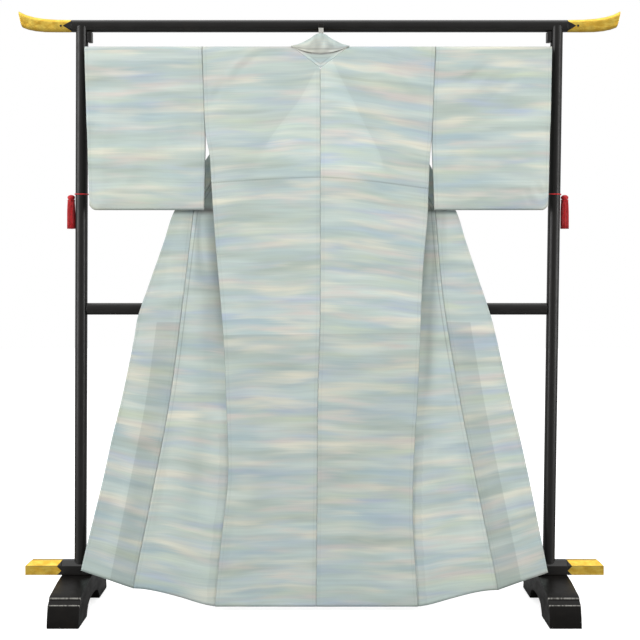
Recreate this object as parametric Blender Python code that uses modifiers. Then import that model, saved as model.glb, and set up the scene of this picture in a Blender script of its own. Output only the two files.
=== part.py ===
"""A silk kimono spread on a lacquered kimono stand, with its back to the viewer.

Metres, +Z up. The origin is on the floor, under the middle of the stand's top bar. The kimono hangs on
the -Y side of the stand, back outwards, on a thin rod that runs through both sleeves. +X is on the
right for someone who looks at its back, and "left" and "right" mean -X and +X in every name.

Each body panel is one length of silk, as it is cut: up the back, over the rod and down the front.
The fronts hang behind the back, turn round an upright fold and spread outwards as two wings.
"""

import math
from collections import namedtuple

import bmesh
import bpy
import numpy as np

SIDES = {"left": -1, "right": 1}
GAP = 0.0003  # between pieces that touch
SEAM = 0.0005  # between cloth edges that are sewn together

# The stand, which leans a little: its base is set further to the left than its top bar
TOP_HALF = 0.719  # half the black part of the top bar; the gold ends follow
BAR = 0.034  # height of the top and middle bars
BAR_DEPTH = 0.033
TOP_Z = 1.700
MIDDLE_Z = 0.879
POST_X = 0.689  # half the distance between the posts' middles
POST_WIDTH, POST_DEPTH = 0.034, 0.042
BAR_ROUND, POST_ROUND = 0.0115, 0.0150  # radii of their rounded corners
BASE_LOW, BASE_SHOULDER, BASE_HIGH = 0.100, 0.1265, 0.141
BASE_HALF_DEPTH, BASE_HIP = 0.025, 0.017  # half its depth, and how far its hipped ends slope inwards
BASE_BLACK, BASE_GOLD = 0.741, 0.847  # half lengths of the base bar's black part and of the whole
BASE_X, BASE_Z = -0.0145, 0.120  # where the base's middle is, and how high
FOOT_X, FOOT_WIDTH, FOOT_HALF = 0.696, 0.089, 0.250
TASSEL_Z = 1.213
ROUND_TOP = 0.012  # height of the rounded tops of the posts

# The rod in the sleeves, and the cloth that lies over it
KIMONO_X = -0.0055  # where the centre seam hangs
ROD_Y, ROD_Z, ROD_R, ROD_HALF = -0.042, 1.6240, 0.0080, 0.655
CLOTH = 0.0012  # thickness of the silk
OVER = ROD_R + 0.002  # radius of the cloth's middle surface over the rod
HANG_Y = -0.058  # how far out the back hangs, below the shoulders
WING_Y = -0.036  # where the wings hang

# The kimono: distances outwards from the centre seam, at heights above the floor
NECK = 0.083  # half the neck opening, at the rod
NECK_POINT, NECK_SAG = 1.572, 1.612  # where the back neckline and the collar's seam cross the centre
HEM_Z = 0.015
COLLAR = 0.058  # width of the folded collar
COLLAR_END = 0.858
OVERLAP_TOP = 1.145
SLEEVE_LOW, SLEEVE_SEWN, CUFF_LOW = 1.165, 1.409, 1.400
FOLD_ROUND = 0.004
FOLD_LEAST = 0.016  # the least width of a front's layer behind the back that is given points of its own
SEWN = 0.04  # how far from the side seam the front parts from the back

Level = namedtuple("Level", "z left right")
BACK_EDGE = [  # side seam, and above SLEEVE_SEWN the sleeve seam
    Level(0.033, 0.297, 0.291),
    Level(0.150, 0.286, 0.283),
    Level(0.267, 0.273, 0.277),
    Level(0.384, 0.260, 0.277),
    Level(0.500, 0.260, 0.282),
    Level(0.616, 0.264, 0.289),
    Level(0.790, 0.271, 0.296),
    Level(0.906, 0.279, 0.299),
    Level(1.050, 0.291, 0.306),
    Level(1.171, 0.300, 0.316),
    Level(1.257, 0.305, 0.319),
    Level(1.337, 0.310, 0.322),
    Level(1.409, 0.322, 0.328),
    Level(1.634, 0.331, 0.339),
]
FOLD = [  # the upright fold that each front turns round
    Level(0.10, 0.290, 0.287),
    Level(0.384, 0.249, 0.252),
    Level(0.616, 0.229, 0.234),
    Level(0.906, 0.217, 0.2145),
    Level(1.157, 0.210, 0.201),
    Level(1.24, 0.200, 0.200),
    Level(1.32, 0.174, 0.179),
    Level(1.40, 0.123, 0.137),
    Level(1.48, 0.063, 0.095),
    Level(1.56, 0.019, 0.052),
    Level(1.634, 0.083, 0.083),
]
HEM = [  # its height at a distance outwards
    *[(0.30, HEM_Z), (0.37, 0.018), (0.41, 0.026), (0.46, 0.038)],
    *[(0.52, 0.056), (0.60, 0.088), (0.64, 0.1015), (0.70, 0.118)],
]
OVERLAP_SEAM = [  # between each front and its overlap
    Level(0.06, 0.539, 0.526),
    Level(0.10, 0.531, 0.519),
    Level(0.384, 0.473, 0.460),
    Level(0.616, 0.429, 0.4135),
    Level(0.906, 0.390, 0.365),
    Level(1.157, 0.359, 0.340),
]
OUTER_EDGE = [  # the collar's free edge down to COLLAR_END, then the overlap's
    Level(0.10, 0.694, 0.674),
    Level(0.15, 0.683, 0.664),
    Level(0.267, 0.654, 0.640),
    Level(0.384, 0.625, 0.616),
    Level(0.50, 0.599, 0.590),
    Level(0.616, 0.570, 0.561),
    Level(0.79, 0.533, 0.520),
    Level(0.857, 0.521, 0.503),
    Level(0.964, 0.484, 0.467),
    Level(1.079, 0.443, 0.428),
    Level(1.157, 0.417, 0.403),
    Level(1.24, 0.368, 0.356),
    Level(1.32, 0.318, 0.312),
    Level(1.40, 0.262, 0.260),
    Level(1.48, 0.199, 0.205),
    Level(1.56, 0.135, 0.150),
]
SLEEVE_INNER = [
    Level(1.165, 0.3265, 0.3355),
    Level(1.409, 0.3225, 0.3285),
    Level(1.634, 0.3315, 0.3395),
]
SLEEVE_OUTER = [
    Level(1.165, 0.657, 0.664),
    Level(1.634, 0.669, 0.673),
]

BACK_ROWS = [0.033, 0.15, 0.267, 0.384, 0.50, 0.616, 0.79, 0.906, 1.05, 1.171, 1.257, 1.337, 1.409, 1.48]
FRONT_ROWS = [1.60, 1.56, 1.48, 1.40, 1.32, 1.24, 1.157]
WING_ROWS = [OVERLAP_TOP, 1.08, 1.0, 0.93, COLLAR_END - 0.0008, COLLAR_END - 0.0015]
LOWER_ROWS = [0.79, 0.70, 0.616, 0.52, 0.43, 0.34, 0.25, 0.17]
ARC = [180, 150, 120, 90, 60, 30, 0]  # degrees round the rod, from the back to the front


# ---------------------------------------------------------------- scene and materials


def clear_scene():
    for obj in list(bpy.data.objects):
        bpy.data.objects.remove(obj)


def collection(name, hidden=False):
    made = bpy.data.collections.new(name)
    made.hide_render = hidden
    bpy.context.scene.collection.children.link(made)
    return made


def material(name, colour, roughness, metallic=0.0):
    made = bpy.data.materials.new(name)
    made.use_nodes = True
    surface = made.node_tree.nodes["Principled BSDF"]
    surface.inputs["Base Color"].default_value = (*colour, 1.0)
    surface.inputs["Roughness"].default_value = roughness
    surface.inputs["Metallic"].default_value = metallic
    return made


def add(name, mesh, look, group):
    mesh.name = name
    mesh.materials.clear()
    mesh.materials.append(look)
    obj = bpy.data.objects.new(name, mesh)
    group.objects.link(obj)
    return obj


# ---------------------------------------------------------------- hard shapes


def rounded(width, height, radius, steps=3):
    """The outline of a rounded rectangle about the origin."""
    points = []
    for quarter in range(4):
        sign_x, sign_y = ((1, 1), (-1, 1), (-1, -1), (1, -1))[quarter]
        for step in range(steps + 1):
            angle = math.pi / 2 * (quarter + step / steps)
            points.append(
                (
                    sign_x * (width / 2 - radius) + radius * math.cos(angle),
                    sign_y * (height / 2 - radius) + radius * math.sin(angle),
                )
            )
    return points


def prism(name, outline, start, end, axis, look, group):
    """An outline drawn along an axis: (y, z) points along X, or (x, y) points along Z."""
    curve = bpy.data.curves.new(name, "CURVE")
    curve.dimensions = "2D"
    curve.fill_mode = "BOTH"
    curve.extrude = (end - start) / 2
    spline = curve.splines.new("POLY")
    spline.points.add(len(outline) - 1)
    for point, (a, b) in zip(spline.points, outline, strict=True):
        point.co = (a, b, 0, 1)
    spline.use_cyclic_u = True
    guide = bpy.data.objects.new(name, curve)
    middle = (start + end) / 2
    if axis == "X":
        guide.rotation_euler = (math.pi / 2, 0, math.pi / 2)
        guide.location = (middle, 0, 0)
    else:
        guide.location = (0, 0, middle)
    group.objects.link(guide)
    return meshed(guide, look, group)


def meshed(guide, look, group):
    """Replaces a curve object by the mesh that it makes, in world coordinates."""
    bpy.context.view_layer.update()
    made = bpy.data.meshes.new_from_object(guide.evaluated_get(bpy.context.evaluated_depsgraph_get()))
    made.transform(guide.matrix_world)
    name, curve = guide.name, guide.data
    bpy.data.objects.remove(guide)
    bpy.data.curves.remove(curve)
    bm = bmesh.new()
    bm.from_mesh(made)
    bmesh.ops.remove_doubles(bm, verts=bm.verts, dist=1e-5)
    bmesh.ops.recalc_face_normals(bm, faces=bm.faces)
    bm.to_mesh(made)
    bm.free()
    return add(name, made, look, group)


def tube(name, points, radius, cyclic, look, group):
    curve = bpy.data.curves.new(name, "CURVE")
    curve.dimensions = "3D"
    curve.bevel_depth = radius
    curve.bevel_resolution = 2
    curve.use_fill_caps = True
    spline = curve.splines.new("POLY")
    spline.points.add(len(points) - 1)
    for point, place in zip(spline.points, points, strict=True):
        point.co = (*place, 1)
    spline.use_cyclic_u = cyclic
    guide = bpy.data.objects.new(name, curve)
    group.objects.link(guide)
    return meshed(guide, look, group)


def cut(obj, cutter):
    cutter.hide_render = True
    cutter.display_type = "WIRE"
    modifier = obj.modifiers.new("cut", "BOOLEAN")
    modifier.object = cutter
    modifier.operation = "DIFFERENCE"


def bar_outline(centre, grow=0.0):
    return [(y, centre + z) for y, z in rounded(BAR_DEPTH + 2 * grow, BAR + 2 * grow, BAR_ROUND)]


def base_outline(grow=0.0):
    deep, flat = BASE_HALF_DEPTH + grow, 0.010
    low, high = BASE_LOW - grow, BASE_HIGH + grow
    return [(-deep, low), (deep, low), (deep, BASE_SHOULDER), (flat, high), (-flat, high), (-deep, BASE_SHOULDER)]


def foot_outline():
    """Half of the foot's side view from the top's middle, mirrored: stepped toes and an arched underside."""
    half = [(0.0, 0.0995), (0.032, 0.0993), (0.090, 0.0955), (0.138, 0.0895), (0.175, 0.0845), (0.202, 0.0815)]
    half += [(0.2120, 0.0785), (0.2140, 0.0710), (0.2300, 0.0630), (0.2330, 0.0605), (0.2360, 0.0540)]
    half += [(0.2450, 0.0300), (0.2490, 0.0100), (FOOT_HALF, 0.0)]
    half += [(0.112, 0.0), (0.103, 0.014), (0.086, 0.029), (0.062, 0.037), (0.032, 0.0405), (0.0, 0.0415)]
    return half + [(-y, z) for y, z in half[-2:0:-1]]


def lean(z):
    """How far the posts' middle is from the origin at a height."""
    return lerp(BASE_X, 0.0, (z - BASE_Z) / (TOP_Z - BASE_Z))


def bar(name, outline, half, middle, look, group):
    return prism(name, outline, middle - half, middle + half, "X", look, group)


def build_stand(lacquer, gold, steel, wood, red, group, cutters):
    bar("top_bar", bar_outline(TOP_Z), TOP_HALF, 0.0, lacquer, group)
    bar("middle_bar", bar_outline(MIDDLE_Z), POST_X - POST_WIDTH / 2 - GAP, lean(MIDDLE_Z), lacquer, group)
    bar("base_bar", base_outline(), BASE_BLACK, BASE_X, lacquer, group)
    top_cutter = bar("top_cutter", bar_outline(TOP_Z, GAP), 1, 0.0, lacquer, cutters)
    base_cutter = bar("base_cutter", base_outline(GAP), 1, 0.0, lacquer, cutters)
    for side, sign in SIDES.items():
        post(f"post_{side}", sign * POST_X, lacquer, group, cutters, (top_cutter, base_cutter))
        bar(f"foot_{side}", foot_outline(), FOOT_WIDTH / 2, BASE_X + sign * FOOT_X, lacquer, group)
        ends = (BASE_X + sign * (BASE_BLACK + GAP), BASE_X + sign * BASE_GOLD)
        base_end(f"base_end_{side}", *sorted(ends), sign, gold, group)
        top_end(f"top_end_{side}", sign, gold, group)
        bracket(f"bracket_{side}", sign, lacquer, group)
        tassel(side, sign, red, group)
    rod(wood, group)
    hook(steel, group)


def post(name, x, look, group, cutters, joints):
    """It clasps the top bar with a rounded top, and straddles the base bar's sloping top."""
    outline = [(px + x, py) for px, py in rounded(POST_WIDTH, POST_DEPTH, POST_ROUND, 4)]
    made = prism(name, outline, BASE_SHOULDER + 0.002, TOP_Z + 0.001, "Z", look, group)
    for vert in made.data.vertices:
        vert.co.x += lean(vert.co.z)
    cap = prism(name + "_round", arch(x + lean(TOP_Z), 12), -1, 1, "Z", look, cutters)
    cap.rotation_euler = (math.pi / 2, 0, 0)
    for joint in (*joints, cap):
        cut(made, joint)


def arch(x, steps):
    """The air round a post's rounded top, seen from the front: a block with an arch cut out of it."""
    radius, spring = POST_WIDTH / 2, TOP_Z - ROUND_TOP
    wide, high = POST_WIDTH, TOP_Z + BAR
    points = [(x + wide, spring), (x + wide, high), (x - wide, high), (x - wide, spring)]
    for step in range(steps + 1):
        angle = math.pi * (1 - step / steps)
        points.append((x + (radius + 0.0001) * math.cos(angle), spring + ROUND_TOP * math.sin(angle)))
    return points


def base_end(name, start, end, sign, look, group):
    """The gold end of the base bar, whose sloping top is hipped at the outer end."""
    made = prism(name, base_outline(), start, end, "X", look, group)
    bm = bmesh.new()
    bm.from_mesh(made.data)
    bmesh.ops.dissolve_limit(bm, angle_limit=0.01, verts=bm.verts, edges=bm.edges)
    outer = end if sign > 0 else start
    rim = [v for v in bm.verts if abs(v.co.x - outer) < 1e-5]
    bmesh.ops.connect_verts(bm, verts=[v for v in rim if abs(v.co.z - BASE_SHOULDER) < 1e-5])
    for vert in rim:
        if vert.co.z > BASE_SHOULDER + 1e-5:
            vert.co.x -= sign * BASE_HIP
    bm.to_mesh(made.data)
    bm.free()


def top_end(name, sign, look, group):
    """The upturned gold end of the top bar: its section is drawn outwards, lifted and made taller."""
    Station = namedtuple("Station", "x low high slant")
    stations = [
        Station(TOP_HALF + GAP, 1.683, 1.7170, 0.0),
        Station(0.765, 1.683, 1.7180, 0.0),
        Station(0.798, 1.6835, 1.7205, 0.001),
        Station(0.826, 1.6860, 1.7250, 0.002),
        Station(0.849, 1.6905, 1.7320, 0.003),
        Station(0.8675, 1.6965, 1.7420, 0.005),
    ]
    outline = rounded(BAR_DEPTH, BAR, BAR_ROUND)
    bm = bmesh.new()

    def place(verts, station):
        tall = station.high - station.low
        middle = (station.high + station.low) / 2
        for vert, (y, z) in zip(verts, outline, strict=True):
            vert.co = (sign * (station.x + station.slant * z / BAR * 2), y, middle + z * tall / BAR)

    verts = [bm.verts.new((0, y, z)) for y, z in outline]
    place(verts, stations[0])
    front = bm.faces.new(verts)
    for station in stations[1:]:
        made = bmesh.ops.extrude_face_region(bm, geom=[front], use_keep_orig=True)
        if station is not stations[1]:
            bmesh.ops.delete(bm, geom=[front], context="FACES_ONLY")
        front = next(g for g in made["geom"] if isinstance(g, bmesh.types.BMFace))
        place([loop.vert for loop in front.loops], station)
    bmesh.ops.recalc_face_normals(bm, faces=bm.faces)
    mesh = bpy.data.meshes.new(name)
    bm.to_mesh(mesh)
    bm.free()
    add(name, mesh, look, group)


def bracket(name, sign, look, group):
    """A small block under the top bar, on the post's inner face."""
    outer = POST_X - POST_WIDTH / 2 - GAP
    top = TOP_Z - BAR / 2 - GAP
    start, end = sorted(lean(top) + sign * x for x in (outer, outer - 0.012))
    outline = [(-0.014, top - 0.030), (0.014, top - 0.030), (0.014, top), (-0.014, top)]
    prism(name, outline, start, end, "X", look, group)


def rod(look, group):
    circle = [math.tau * k / 16 for k in range(16)]
    outline = [(ROD_Y + ROD_R * math.cos(a), ROD_Z + ROD_R * math.sin(a)) for a in circle]
    bar("sleeve_rod", outline, ROD_HALF, KIMONO_X, look, group)


def hook(look, group):
    """A flat hook on the front of the top bar, whose stem holds the rod."""
    back, front, thick = -BAR_DEPTH / 2 - GAP, -0.0445, 0.005
    top, low = TOP_Z - 0.0005, ROD_Z + ROD_R + GAP
    outline = [(back, top), (front, top), (front, low), (front + thick, low)]
    outline += [(front + thick, top - 0.011), (back, top - 0.011)]
    bar("rod_hook", outline, 0.007, KIMONO_X + 0.010, look, group)


def tassel(side, sign, look, group):
    """A red cord tied round the post, and its tassel on the post's outer side."""
    ring = rounded(POST_WIDTH + 0.0036, POST_DEPTH + 0.0036, POST_ROUND + 0.0018, 5)
    middle = sign * POST_X + lean(TASSEL_Z)
    points = [(middle + x, y, TASSEL_Z) for x, y in ring]
    tube(f"tassel_cord_{side}", points, 0.0014, True, look, group)
    profile = [(0.0, 0.0), (0.0055, -0.001), (0.0080, -0.006), (0.0065, -0.012), (0.0085, -0.016)]
    profile += [(0.0105, -0.030), (0.0115, -0.070), (0.0120, -0.100), (0.0, -0.100)]
    mesh = bpy.data.meshes.new("tassel")
    mesh.from_pydata([(x, 0, z) for x, z in profile], [(k, k + 1) for k in range(len(profile) - 1)], [])
    made = add(f"tassel_{side}", mesh, look, group)
    made.location = (middle + sign * (POST_WIDTH / 2 + 0.0135), 0, TASSEL_Z - 0.0020)
    turn = made.modifiers.new("turn", "SCREW")
    turn.steps = turn.render_steps = 14
    turn.use_merge_vertices = True
    turn.merge_threshold = 1e-5
    turn.use_smooth_shade = True


# ---------------------------------------------------------------- cloth


def at(table, z, side):
    """A table's distance for one side at a height, straight between its rows."""
    rows = sorted(table)
    return float(np.interp(z, [row.z for row in rows], [getattr(row, side) for row in rows]))


def ease(value):
    value = min(1.0, max(0.0, value))
    return value * value * (3 - 2 * value)


def back_y(z):
    top = ROD_Y - OVER
    return top + (HANG_Y - top) * ease((ROD_Z - z) / 0.32)


def lining_y(z):
    """Where a front hangs just behind the back: well clear at the rod, close to it below the armhole."""
    top = ROD_Y + OVER
    return top + (HANG_Y + 0.008 - top) * ease((1.52 - z) / 0.32)


def wing_y(z):
    return WING_Y + 0.014 * ease((z - 1.30) / 0.30)


def front_edge(z, side):
    """Where a front panel ends: at the collar above the overlap, and at the overlap's seam below."""
    if z < 1.157:
        return at(OVERLAP_SEAM, z, side)
    if z > 1.56:
        return at(OUTER_EDGE, 1.56, side) - COLLAR + (z - 1.56) * 0.08
    return at(OUTER_EDGE, z, side) - COLLAR


def hem_z(distance):
    """The hem's height: level across the back, and rising towards the wings' outer corners."""
    return float(np.interp(distance, *zip(*HEM, strict=True)))


def hem_at(table, side):
    """The height where the hem meets one of the long edges."""
    z = HEM_Z
    for _ in range(12):
        z = hem_z(at(table, z, side))
    return z


def tilt(z, seam_hem, drop):
    """How much lower than its outer end a row of the wing starts: nothing high up, drop at the hem."""
    return drop * min(1.0, max(0.0, (0.95 - z) / (0.95 - seam_hem)))


def wall(name, columns, rows, place, thickness, look, group, closed=False):
    """A sheet of cloth: a grid whose points place(column, row) puts in space, given its thickness."""
    bm = bmesh.new()
    bmesh.ops.create_grid(bm, x_segments=columns, y_segments=rows, size=0.5)
    for vert in bm.verts:
        x, y, z = place(round((vert.co.x + 0.5) * columns), round((vert.co.y + 0.5) * rows))
        vert.co = (KIMONO_X + x, y, z)
    if closed:
        bmesh.ops.remove_doubles(bm, verts=bm.verts, dist=1e-6)
    mesh = bpy.data.meshes.new(name)
    bm.to_mesh(mesh)
    bm.free()
    made = add(name, mesh, look, group)
    shell = made.modifiers.new("thickness", "SOLIDIFY")
    shell.thickness = thickness
    shell.offset = 0
    made.data.shade_smooth()
    return made


def build_body(side, sign, look, group):
    """Up the back from the hem, over the rod, down behind it, round the fold and out as the wing."""
    columns = 9
    seam_hem = hem_at(OVERLAP_SEAM, side)
    fronts = FRONT_ROWS + WING_ROWS[1:4] + LOWER_ROWS
    fronts = sorted({*fronts, OVERLAP_TOP, *WING_ROWS[4:], seam_hem}, reverse=True)
    places = []
    for z in [HEM_Z] + BACK_ROWS:
        places.append([(lerp(at(BACK_EDGE, z, side), SEAM, k / columns), back_y(z), z) for k in range(columns + 1)])
    for z, inner in [(1.56, 0.0), (1.60, 0.028), (ROD_Z, 0.058)]:
        row = []
        for k in range(columns + 1):
            share = k / columns
            height = lerp(z, neckline_z(inner) - SEAM, ease(1.6 * share - 0.6))
            row.append((lerp(at(BACK_EDGE, z, side), max(inner, SEAM), share), back_y(height), height))
        places.append(row)
    for degrees in ARC[1:]:
        angle = math.radians(degrees)
        y, z = ROD_Y + OVER * math.cos(angle), ROD_Z + OVER * math.sin(angle)
        edge = at(BACK_EDGE, ROD_Z, side)
        places.append([(lerp(edge, NECK, k / columns), y, z) for k in range(columns + 1)])
    for z in fronts:
        places.append(front_row(z, side, seam_hem, columns))
    wall(
        f"body_{side}",
        columns,
        len(places) - 1,
        lambda column, row: (sign * places[row][column][0], *places[row][column][1:]),
        CLOTH,
        look,
        group,
    )


def front_row(z, side, seam_hem, columns):
    """One row of a front: from the side seam inwards to the fold, round it, and outwards to its edge."""
    low = z - tilt(z, seam_hem, seam_hem - HEM_Z)
    edge, far = at(BACK_EDGE, low, side), front_edge(z, side) - (0 if z > 1.157 else SEAM / 2)
    deep = max(0.0, edge - at(FOLD, low, side))
    total = far - edge + deep + math.hypot(deep, FOLD_ROUND)
    turn = max(deep, FOLD_LEAST)
    stops = [0, 0.5 * turn, 0.85 * turn, turn] + [turn + (total - turn) * f for f in (0.08, 0.2, 0.4, 0.6, 0.8, 1)]
    sewn = ease((SLEEVE_SEWN - z) / 0.10)
    row = []
    for s in stops:
        inwards = math.hypot(deep, FOLD_ROUND) - math.hypot(s - deep, FOLD_ROUND)
        turned = 0.5 * (1 + math.tanh((s - deep) / FOLD_ROUND))
        start = 0.5 * (1 + math.tanh(-deep / FOLD_ROUND))
        turned = (turned - start) / (1 - start)
        height = lerp(low, z, ease(s / total))
        near = back_y(height) + CLOTH + SEAM
        close = sewn * (1 - ease(s / SEWN))
        first = lerp(lining_y(height), near, close)
        if turn > deep:
            first = lerp(near, lining_y(height), ease(s / SEWN))
        row.append((edge - inwards, lerp(first, wing_y(height), turned), height))
    return row


def build_overlap(side, sign, look, group):
    """The narrow panel between the front's edge and the wing's outer edge."""
    columns = 4
    seam_hem, outer_hem = hem_at(OVERLAP_SEAM, side), hem_at(OUTER_EDGE, side)
    heights = WING_ROWS + LOWER_ROWS + [seam_hem]
    reach = outer_hem - seam_hem
    places = []
    for z in heights:
        outer_z = z + reach * min(1.0, max(0.0, (WING_ROWS[5] - z) / (WING_ROWS[5] - seam_hem)))
        inner = at(OVERLAP_SEAM, z, side) + SEAM / 2
        outer = at(OUTER_EDGE, outer_z, side)
        if z > WING_ROWS[5]:
            outer -= COLLAR + SEAM / 2
        row = []
        for k in range(columns + 1):
            height = lerp(z, outer_z, k / columns)
            row.append((lerp(inner, outer, k / columns), wing_y(height), height))
        places.append(row)
    wall(
        f"overlap_{side}",
        columns,
        len(places) - 1,
        lambda column, row: (sign * places[row][column][0], *places[row][column][1:]),
        CLOTH,
        look,
        group,
    )


def build_collar(side, sign, look, group):
    """The folded band down the wing's upper edge, two layers of silk thick."""
    heights = FRONT_ROWS + WING_ROWS[:4] + [COLLAR_END]
    places = []
    for z in heights:
        inner = front_edge(z, side) if z > 1.157 else at(OUTER_EDGE, z, side) - COLLAR
        outer = at(OUTER_EDGE, z, side)
        if z > 1.56:
            outer = inner + 0.030
        places.append([(lerp(inner + SEAM, outer, k / 2), wing_y(z), z) for k in range(3)])
    wall(
        f"collar_{side}",
        2,
        len(places) - 1,
        lambda column, row: (sign * places[row][column][0], *places[row][column][1:]),
        2 * CLOTH,
        look,
        group,
    )


def neckline_z(x):
    """The back's neckline, a shallow V."""
    return NECK_POINT + (ROD_Z + OVER - NECK_POINT) * abs(x) / NECK


def sag_z(x):
    """The collar's seam across the back of the neck, which sags between the neck's sides."""
    return NECK_SAG + (ROD_Z + OVER - NECK_SAG) * (x / NECK) ** 2


def build_collar_back(look, group):
    """The collar across the back of the neck, drawn up to a point at the hook."""
    Station = namedtuple("Station", "x seam_y top_x top_y top_z")
    half = [
        Station(0.000, -0.0550, 0.000, -0.0475, 1.6720),
        Station(0.018, -0.0550, 0.014, -0.0475, 1.6680),
        Station(0.036, -0.0545, 0.031, -0.0480, 1.6560),
        Station(0.054, -0.0535, 0.049, -0.0485, 1.6465),
        Station(0.068, -0.0520, 0.062, -0.0480, 1.6410),
    ]
    stations = [s._replace(x=-s.x, top_x=-s.top_x) for s in half[:0:-1]] + half
    rows = 4

    def place(column, row):
        s, up = stations[column], row / rows
        low = sag_z(s.x) + SEAM
        return (lerp(s.x, s.top_x, up), lerp(s.seam_y, s.top_y, up), lerp(low, s.top_z, up))

    wall("collar_back", len(stations) - 1, rows, place, 2 * CLOTH, look, group)


def build_gusset(look, group):
    """The three-cornered piece between the back's neckline and the collar's seam."""
    columns, rows, half = 12, 3, 0.068

    def place(column, row):
        x = lerp(-half, half, column / columns)
        z = lerp(neckline_z(x) + SEAM, sag_z(x) - SEAM, row / rows)
        return (x, back_y(z), z)

    wall("neck_gusset", columns, rows, place, CLOTH, look, group)


def build_sleeve(side, sign, look, group):
    """One length folded over the rod and sewn along its foot, and up its outer edge to the cuff opening."""
    shares = [0, 0.15, 0.30, 0.45, 0.60, 0.75, 0.87, 0.95, 1]
    heights = [1.56, 1.48, SLEEVE_SEWN, 1.32, 1.24, SLEEVE_LOW + 0.012]
    ring = [("arc", degrees) for degrees in ARC]
    ring += [("front", z) for z in heights] + [("foot", SLEEVE_LOW)]
    ring += [("back", z) for z in reversed(heights)]

    def place(column, row):
        share = shares[row]
        kind, value = ring[column % len(ring)]
        if kind == "arc":
            angle = math.radians(value)
            y, z = ROD_Y + OVER * math.cos(angle), ROD_Z + OVER * math.sin(angle)
            return (sign * sleeve_x(ROD_Z, side, share), y, z)
        x = sleeve_x(value, side, share)
        z = value + (0.010 * ease((share - 0.93) / 0.07) if value < CUFF_LOW - 0.15 else 0)
        middle = lerp((back_y(z) + ROD_Y + OVER) / 2, HANG_Y + 0.007, ease((ROD_Z - z) / 0.40))
        half = middle - back_y(z)
        closed = ease((share - 0.85) / 0.15) * ease((CUFF_LOW + 0.03 - z) / 0.05)
        half = lerp(half, (CLOTH + 2 * SEAM) / 2, closed)
        offset = {"front": half, "foot": 0.0, "back": -half}[kind]
        return (sign * x, middle + offset, z)

    wall(f"sleeve_{side}", len(ring), len(shares) - 1, place, CLOTH, look, group, closed=True)


def sleeve_x(z, side, share):
    return lerp(at(SLEEVE_INNER, z, side) + SEAM, at(SLEEVE_OUTER, z, side), share)


def lerp(a, b, share):
    return a + (b - a) * share


# ---------------------------------------------------------------- the whole


def main():
    clear_scene()
    group = collection("silk_kimono_on_stand")
    cutters = collection("cutters", hidden=True)
    silk = material("silk", (0.52, 0.58, 0.54), 0.55)
    lacquer = material("black_lacquer", (0.012, 0.011, 0.010), 0.18)
    gold = material("gold_fittings", (0.72, 0.50, 0.13), 0.30, 1.0)
    steel = material("hook_metal", (0.70, 0.68, 0.62), 0.35, 1.0)
    wood = material("rod_wood", (0.45, 0.30, 0.16), 0.50)
    red = material("red_silk_thread", (0.38, 0.008, 0.015), 0.60)
    build_stand(lacquer, gold, steel, wood, red, group, cutters)
    for side, sign in SIDES.items():
        build_body(side, sign, silk, group)
        build_overlap(side, sign, silk, group)
        build_collar(side, sign, silk, group)
        build_sleeve(side, sign, silk, group)
    build_collar_back(silk, group)
    build_gusset(silk, group)


main()
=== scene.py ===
"""The looks of a silk kimono that hangs on a lacquered kimono stand, with its back to the viewer.

The silk is woven with clouded streaks across its width. Each panel has its own cloth coordinates, in
metres: u across the width and v along the length. The stand keeps its CAD shapes, with eased edges.
"""

import math
from collections import namedtuple

import bmesh
import bpy
from mathutils import Matrix, Vector, noise


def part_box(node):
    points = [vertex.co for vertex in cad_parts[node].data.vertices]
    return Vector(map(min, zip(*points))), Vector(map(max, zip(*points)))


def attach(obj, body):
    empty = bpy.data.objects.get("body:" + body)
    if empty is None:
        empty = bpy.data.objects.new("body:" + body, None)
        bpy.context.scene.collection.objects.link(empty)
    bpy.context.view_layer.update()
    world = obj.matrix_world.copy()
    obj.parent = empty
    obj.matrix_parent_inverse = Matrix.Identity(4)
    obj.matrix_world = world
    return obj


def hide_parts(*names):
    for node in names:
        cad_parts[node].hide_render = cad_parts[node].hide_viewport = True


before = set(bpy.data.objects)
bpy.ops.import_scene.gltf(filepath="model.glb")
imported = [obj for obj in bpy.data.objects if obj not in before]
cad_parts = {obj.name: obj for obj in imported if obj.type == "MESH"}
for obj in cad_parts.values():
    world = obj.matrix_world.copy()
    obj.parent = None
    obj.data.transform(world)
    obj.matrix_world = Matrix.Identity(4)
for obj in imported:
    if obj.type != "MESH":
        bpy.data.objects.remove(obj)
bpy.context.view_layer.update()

SIDES = {"left": -1, "right": 1}

# ---------------------------------------------------------------- measures

rod_low, rod_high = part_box("sleeve_rod")
ROD_Y, ROD_Z = (rod_low[1] + rod_high[1]) / 2, (rod_low[2] + rod_high[2]) / 2
ROD_R = (rod_high[1] - rod_low[1]) / 2
SILK = 0.0008  # thickness of the silk
OVER = ROD_R + 0.0020  # radius of the cloth's middle surface over the rod
OVER_LENGTH = math.pi * OVER
HANG_Y, WING_Y = -0.058, -0.036  # where the back and the wings hang
KIMONO_X = (rod_low[0] + rod_high[0]) / 2  # where the centre seam hangs

base_low, base_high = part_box("base_bar")
BASE_X, BASE_BLACK = (base_low[0] + base_high[0]) / 2, (base_high[0] - base_low[0]) / 2
BASE_SHOULDER, BASE_TOP = 0.1265, 0.141  # heights of the base bar's edges
BASE_NOTCH_Z = 0.113  # height of the notch in a base end's front face
TOP_BLACK, TOP_BORDER_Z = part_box("top_bar")[1][0], 1.6985

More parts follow.
